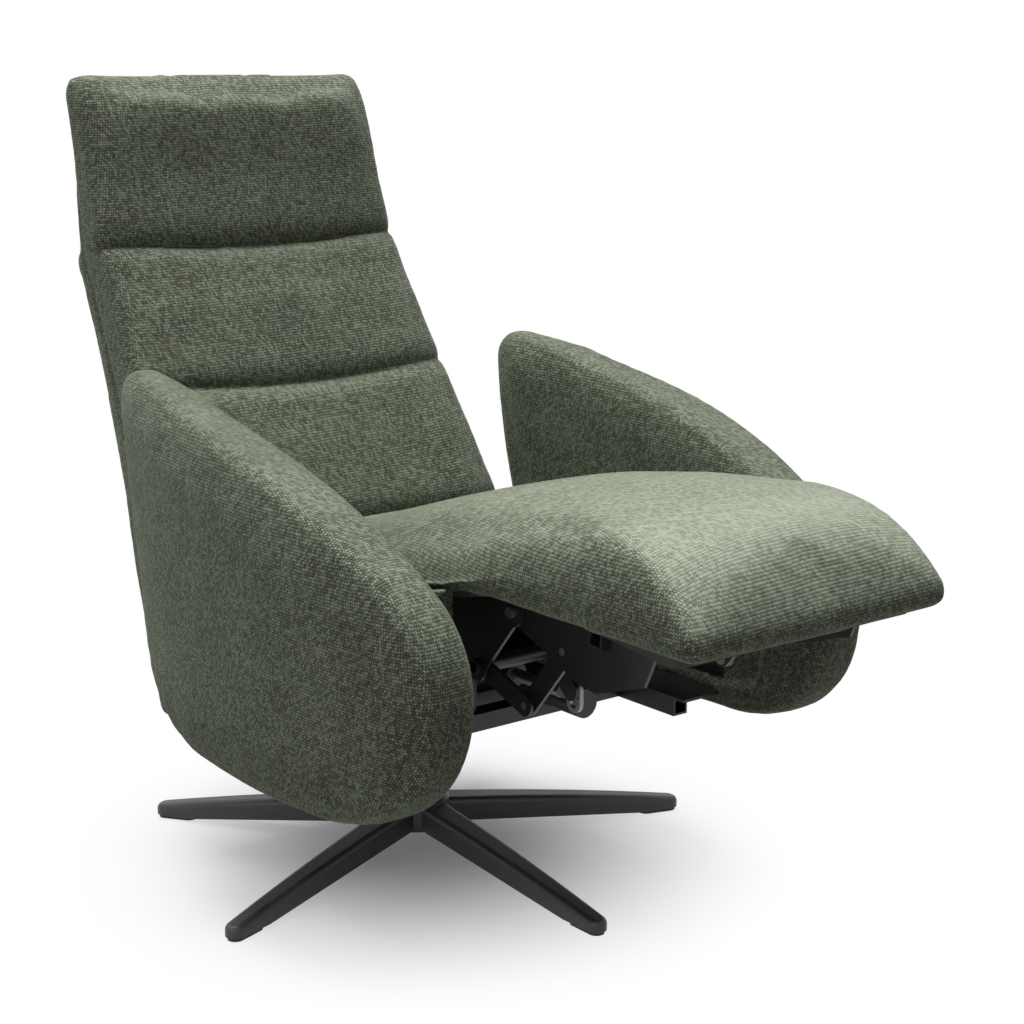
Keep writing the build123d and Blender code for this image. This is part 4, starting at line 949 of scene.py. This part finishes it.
@dataclass
class Seat:
    """Seat and leg rest: one long stuffed pad that runs over the knee hinge."""

    upholsterer: Upholsterer
    knee_y: float = -0.448
    overlap: float = 0.004
    knee_reach: float = 0.03
    dome: float = 0.042
    dome_start: float = 0.07
    dome_end: float = 0.25
    dome_front: float = -0.60
    dome_run: float = 0.2
    fall: float = 0.034
    fall_front: float = -0.36
    fall_rear: float = 0.06
    bend_start: Place = (0, -0.38, 0.55)
    bend_end: Place = (0, -0.52, 0.55)
    fill: float = 0.75
    # Strength of the painted highlight on the seat, stronger than on the other covers.
    painted_top_light: float = 1.35
    rail_fill: float = 0.9

    def _dome(self, pad: bpy.types.Object) -> None:
        """Let the top of the seat fall away towards both sides and towards the back.

        Args:
            pad: Seat pad to move.
        """
        points = Workshop.points(pad)
        lift = np.clip(Workshop.normals(pad)[:, 2] * 1.5 + 0.5, 0, 1)
        outward = np.abs(points[:, 0]) - self.dome_start
        side = np.clip(outward / (self.dome_end - self.dome_start), 0, 1.2)
        along = np.clip((points[:, 1] - self.dome_front) / self.dome_run, 0, 1)
        rear = np.clip((points[:, 1] - self.fall_front) / (self.fall_rear - self.fall_front), 0, 1)
        fall = self.fall * rear ** 2 * (3 - 2 * rear)
        points[:, 2] -= (self.dome * side ** 2 * along + fall) * lift
        Workshop.set_points(pad, points)

    def _close_knee(self, points: np.ndarray) -> np.ndarray:
        """Let both sides of the knee overlap a little.

        Args:
            points: Points of the solids.

        Returns:
            The moved points.
        """
        away = points[:, 1] - self.knee_y
        share = np.clip(1 - np.abs(away) / self.knee_reach, 0, 1)
        moved = points.copy()
        moved[:, 1] -= np.sign(away) * self.overlap * share
        return moved

    def build(self) -> None:
        """Make the pad and the covered side rails."""
        nodes = ["seat_cushion", "footrest_cushion"]
        pad = self.upholsterer.pad("seat_pad", nodes, Stuffing(cap=0.014, plump=0.008), self._close_knee)
        self._dome(pad)
        self.upholsterer.dress(pad, None, nodes, self.fill, self.painted_top_light)
        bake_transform(pad)
        thin = Stuffing(voxel=0.004, draw_in=0.002, cap=0.003, plump=0.001, refine=False)
        for side in ("left", "right"):
            node = f"{side}_seat_rail"
            rail = self.upholsterer.pad(f"{side}_rail_cover", [node], thin)
            self.upholsterer.dress(rail, Body.CARRIAGE, [node], self.rail_fill)


@dataclass
class Arms:
    """Leaf-shaped arms with a sewn border round both faces."""

    upholsterer: Upholsterer
    border: float = 0.017
    heel: float = 0.013
    heel_y: float = 0.02
    heel_z: float = 0.39
    heel_reach: float = 0.2
    heel_run: float = 0.12
    spokes: int = 240
    seam_width: float = 0.0032
    seam_sink: float = 0.0014
    seam_shade: float = 0.25
    fill: float = 0.8

    def _trim_heel(self, arm: bpy.types.Object) -> None:
        """Draw the lower rear edge of an arm forward.

        Args:
            arm: Arm to move.
        """
        points = Workshop.points(arm)
        rear = np.clip((points[:, 1] - self.heel_y) / self.heel_run, 0, 1)
        points[:, 1] -= self.heel * rear * ridge(points[:, 2] - self.heel_z, self.heel_reach)
        Workshop.set_points(arm, points)

    def build(self) -> None:
        """Make both arms."""
        for side in ("left", "right"):
            node = f"{side}_arm_cushion"
            arm = self.upholsterer.pad(f"{side}_arm_cover", [node], Stuffing(cap=0.010, plump=0.006))
            self._trim_heel(arm)
            self._sew_border(arm)
            self.upholsterer.dress(arm, Body.CARRIAGE, [node], self.fill)

    def _sew_border(self, arm: bpy.types.Object) -> None:
        """Press the border seam at an even distance inside the outline, and paint shade into it.

        Args:
            arm: Arm to sew.
        """
        points = Workshop.points(arm)
        normals = Workshop.normals(arm)
        middle = (points[:, 1:].min(0) + points[:, 1:].max(0)) / 2
        reach = points[:, 1:] - middle
        radius = np.linalg.norm(reach, axis=1)
        angle = np.arctan2(reach[:, 1], reach[:, 0])
        count = self.spokes
        bins = ((angle + math.pi) / (2 * math.pi) * count).astype(int) % count
        edge = np.zeros(count)
        np.maximum.at(edge, bins, radius)
        for _ in range(3):
            edge = (np.roll(edge, 1) + 2 * edge + np.roll(edge, -1)) / 4
        exact = (angle + math.pi) / (2 * math.pi) * count - 0.5
        low = np.floor(exact).astype(int)
        part = exact - low
        rim = edge[low % count] * (1 - part) + edge[(low + 1) % count] * part
        turn = (edge[(low + 1) % count] - edge[(low - 1) % count]) / (2 * 2 * math.pi / count)
        inside = (rim - radius) * rim / np.sqrt(rim ** 2 + turn ** 2)
        flat = np.clip(np.abs(normals[:, 0]) * 1.6 - 0.3, 0, 1)
        near = ridge(inside - self.border, self.seam_width) * flat
        Upholsterer.pressed_seam_shade(arm, self.seam_sink * near, self.seam_shade * near)


@dataclass
class Ironwork:
    """Finishes of the CAD nodes that stay: base, frame, links, drives and switches."""

    def build(self) -> None:
        """Give every rigid node its finish."""
        finishes: dict[str, bpy.types.Material] = {
            "matt_black_base": PowderCoat("base_coat", linear(66, 66, 65), 0.45, 700.0, 0.18).material(),
            "black_steel": PowderCoat("frame_paint", linear(24, 24, 25), 0.42, 1100.0, 0.1).material(),
            "bright_steel": DullSteel().material(),
            "glide_plastic": Moulding("glide_moulding", linear(24, 24, 24), 0.6).material(),
            "bearing_plastic": Moulding("bearing_moulding", linear(205, 203, 196), 0.45).material(),
            "black_board": FacedBoard().material(),
            "housing_plastic": Moulding("housing_moulding", linear(34, 34, 36), 0.5).material(),
            "button_plastic": Moulding("button_moulding", linear(92, 93, 96), 0.4).material(),
        }
        for entry in frame["record"]["subparts"]:
            slot = entry["material_slot"]
            if slot in finishes:
                node = frame["nodes"][entry["node"]]
                node.data.materials.clear()
                node.data.materials.append(finishes[slot])
                log.info("%s finished as %s", entry["node"], slot)


@dataclass
class Studio:
    """White studio with a broad overhead light, and the camera of the photograph."""

    azimuth: float = -35.46
    distance: float = 2.757
    height: float = 1.103
    pitch: float = 12.54
    pan: float = -2.83
    focal_px: float = 2020.0
    image_px: float = 1024.0
    floor_size: float = 40.0
    lit_shade: Colour = (0.96, 0.96, 0.96, 1.0)
    bounce_shade: Colour = (0.3, 0.3, 0.3, 1.0)
    shadow_near: float = 0.05
    shadow_far: float = 0.56
    shadow_glow: float = 0.11
    ambient: float = 0.07

    def build(self) -> None:
        """Add floor, lights, world and camera."""
        self._camera()
        self._floor()
        self._lamp("overhead_softbox", (0.1, 1.0, 6.8), (0.0, -0.3, 0.4), 4.6, 610.0)
        self._lamp("side_fill", (-3.8, -1.6, 0.9), (0.0, 0.0, 0.45), 3.0, 31.0)
        self._world()
        bpy.context.scene.view_settings.view_transform = "Standard"

    def _camera(self) -> None:
        """Stand the camera where the photograph was taken."""
        turn = math.radians(self.azimuth)
        heading = turn + math.radians(self.pan)
        tilt = math.radians(self.pitch)
        place = Vector((math.sin(turn) * self.distance, -math.cos(turn) * self.distance, self.height))
        right = Vector((math.cos(heading), math.sin(heading), 0))
        level = Vector((-math.sin(heading), math.cos(heading), 0))
        ahead = level * math.cos(tilt) - Vector((0, 0, math.sin(tilt)))
        up = right.cross(ahead)
        Workshop.clear_selection()
        bpy.ops.object.camera_add()
        camera = bpy.context.object
        camera.name = "photo_camera"
        camera.matrix_world = Matrix.Translation(place) @ Matrix((right, up, -ahead)).transposed().to_4x4()
        camera.data.lens = self.focal_px / self.image_px * camera.data.sensor_width
        camera.data.clip_end = 60
        bpy.context.scene.camera = camera

    def _floor(self) -> None:
        """Lay a pale floor that stays white to the camera and keeps the soft shadow."""
        Workshop.clear_selection()
        bpy.ops.mesh.primitive_plane_add(size=self.floor_size)
        floor = bpy.context.object
        floor.name = "studio_floor"
        bench = ShaderBench(bpy.data.materials.new("studio_white"))
        lit = bench.node("ShaderNodeBsdfDiffuse", None, {"Color": self.lit_shade})
        dull = bench.node("ShaderNodeBsdfDiffuse", None, {"Color": self.bounce_shade})
        glow = bench.node("ShaderNodeEmission", None, {"Color": (1.0, 1.0, 1.0, 1.0), "Strength": 1.0})
        reach = bench.node("ShaderNodeVectorMath", {"operation": "LENGTH"}, {0: bench.place()}, "Value")
        far = bench.node("ShaderNodeMapRange", {"interpolation_type": "SMOOTHSTEP"}, {
            "Value": reach,
            "From Min": self.shadow_near,
            "From Max": self.shadow_far,
            "To Min": self.shadow_glow,
            "To Max": 1.0,
        })
        shown = bench.node("ShaderNodeMixShader", None, {0: far, 1: lit, 2: glow})
        blend = bench.node("ShaderNodeMixShader", None, {0: bench.seen_rays(), 1: dull, 2: shown})
        floor.data.materials.append(bench.close(blend))

    @staticmethod
    def _lamp(
        name: str,
        place: Place,
        target: Place,
        size: float,
        power: float,
    ) -> None:
        """Hang a square soft light.

        Args:
            name: Name of the light.
            place: Where it hangs.
            target: What it points at.
            size: Side of the light in metres.
            power: Its power in watts.
        """
        Workshop.clear_selection()
        bpy.ops.object.light_add(type="AREA", location=place)
        lamp = bpy.context.object
        lamp.name = name
        lamp.data.size = size
        lamp.data.energy = power
        lamp.rotation_euler = (Vector(target) - Vector(place)).to_track_quat("-Z", "Y").to_euler()

    def _world(self) -> None:
        """Surround the chair with white that lights it only a little."""
        bench = ShaderBench(bpy.data.worlds.new("studio_world"))
        shares = {"Value": bench.seen_rays(), "To Min": self.ambient, "To Max": 1.0}
        strength = bench.node("ShaderNodeMapRange", None, shares, "Result")
        sky = bench.node("ShaderNodeBackground", None, {"Color": (1.0, 1.0, 1.0, 1.0), "Strength": strength})
        bpy.context.scene.world = bench.close(sky)


def main() -> None:
    """Build the chair's covers and finishes, then the studio."""
    cloth = Chenille().material()
    upholsterer = Upholsterer(cloth)
    Ironwork().build()
    for assembly in (Back(upholsterer), Seat(upholsterer), Arms(upholsterer), Studio()):
        assembly.build()
        log.info("%s done", type(assembly).__name__)


if __name__ == "__main__":
    main()
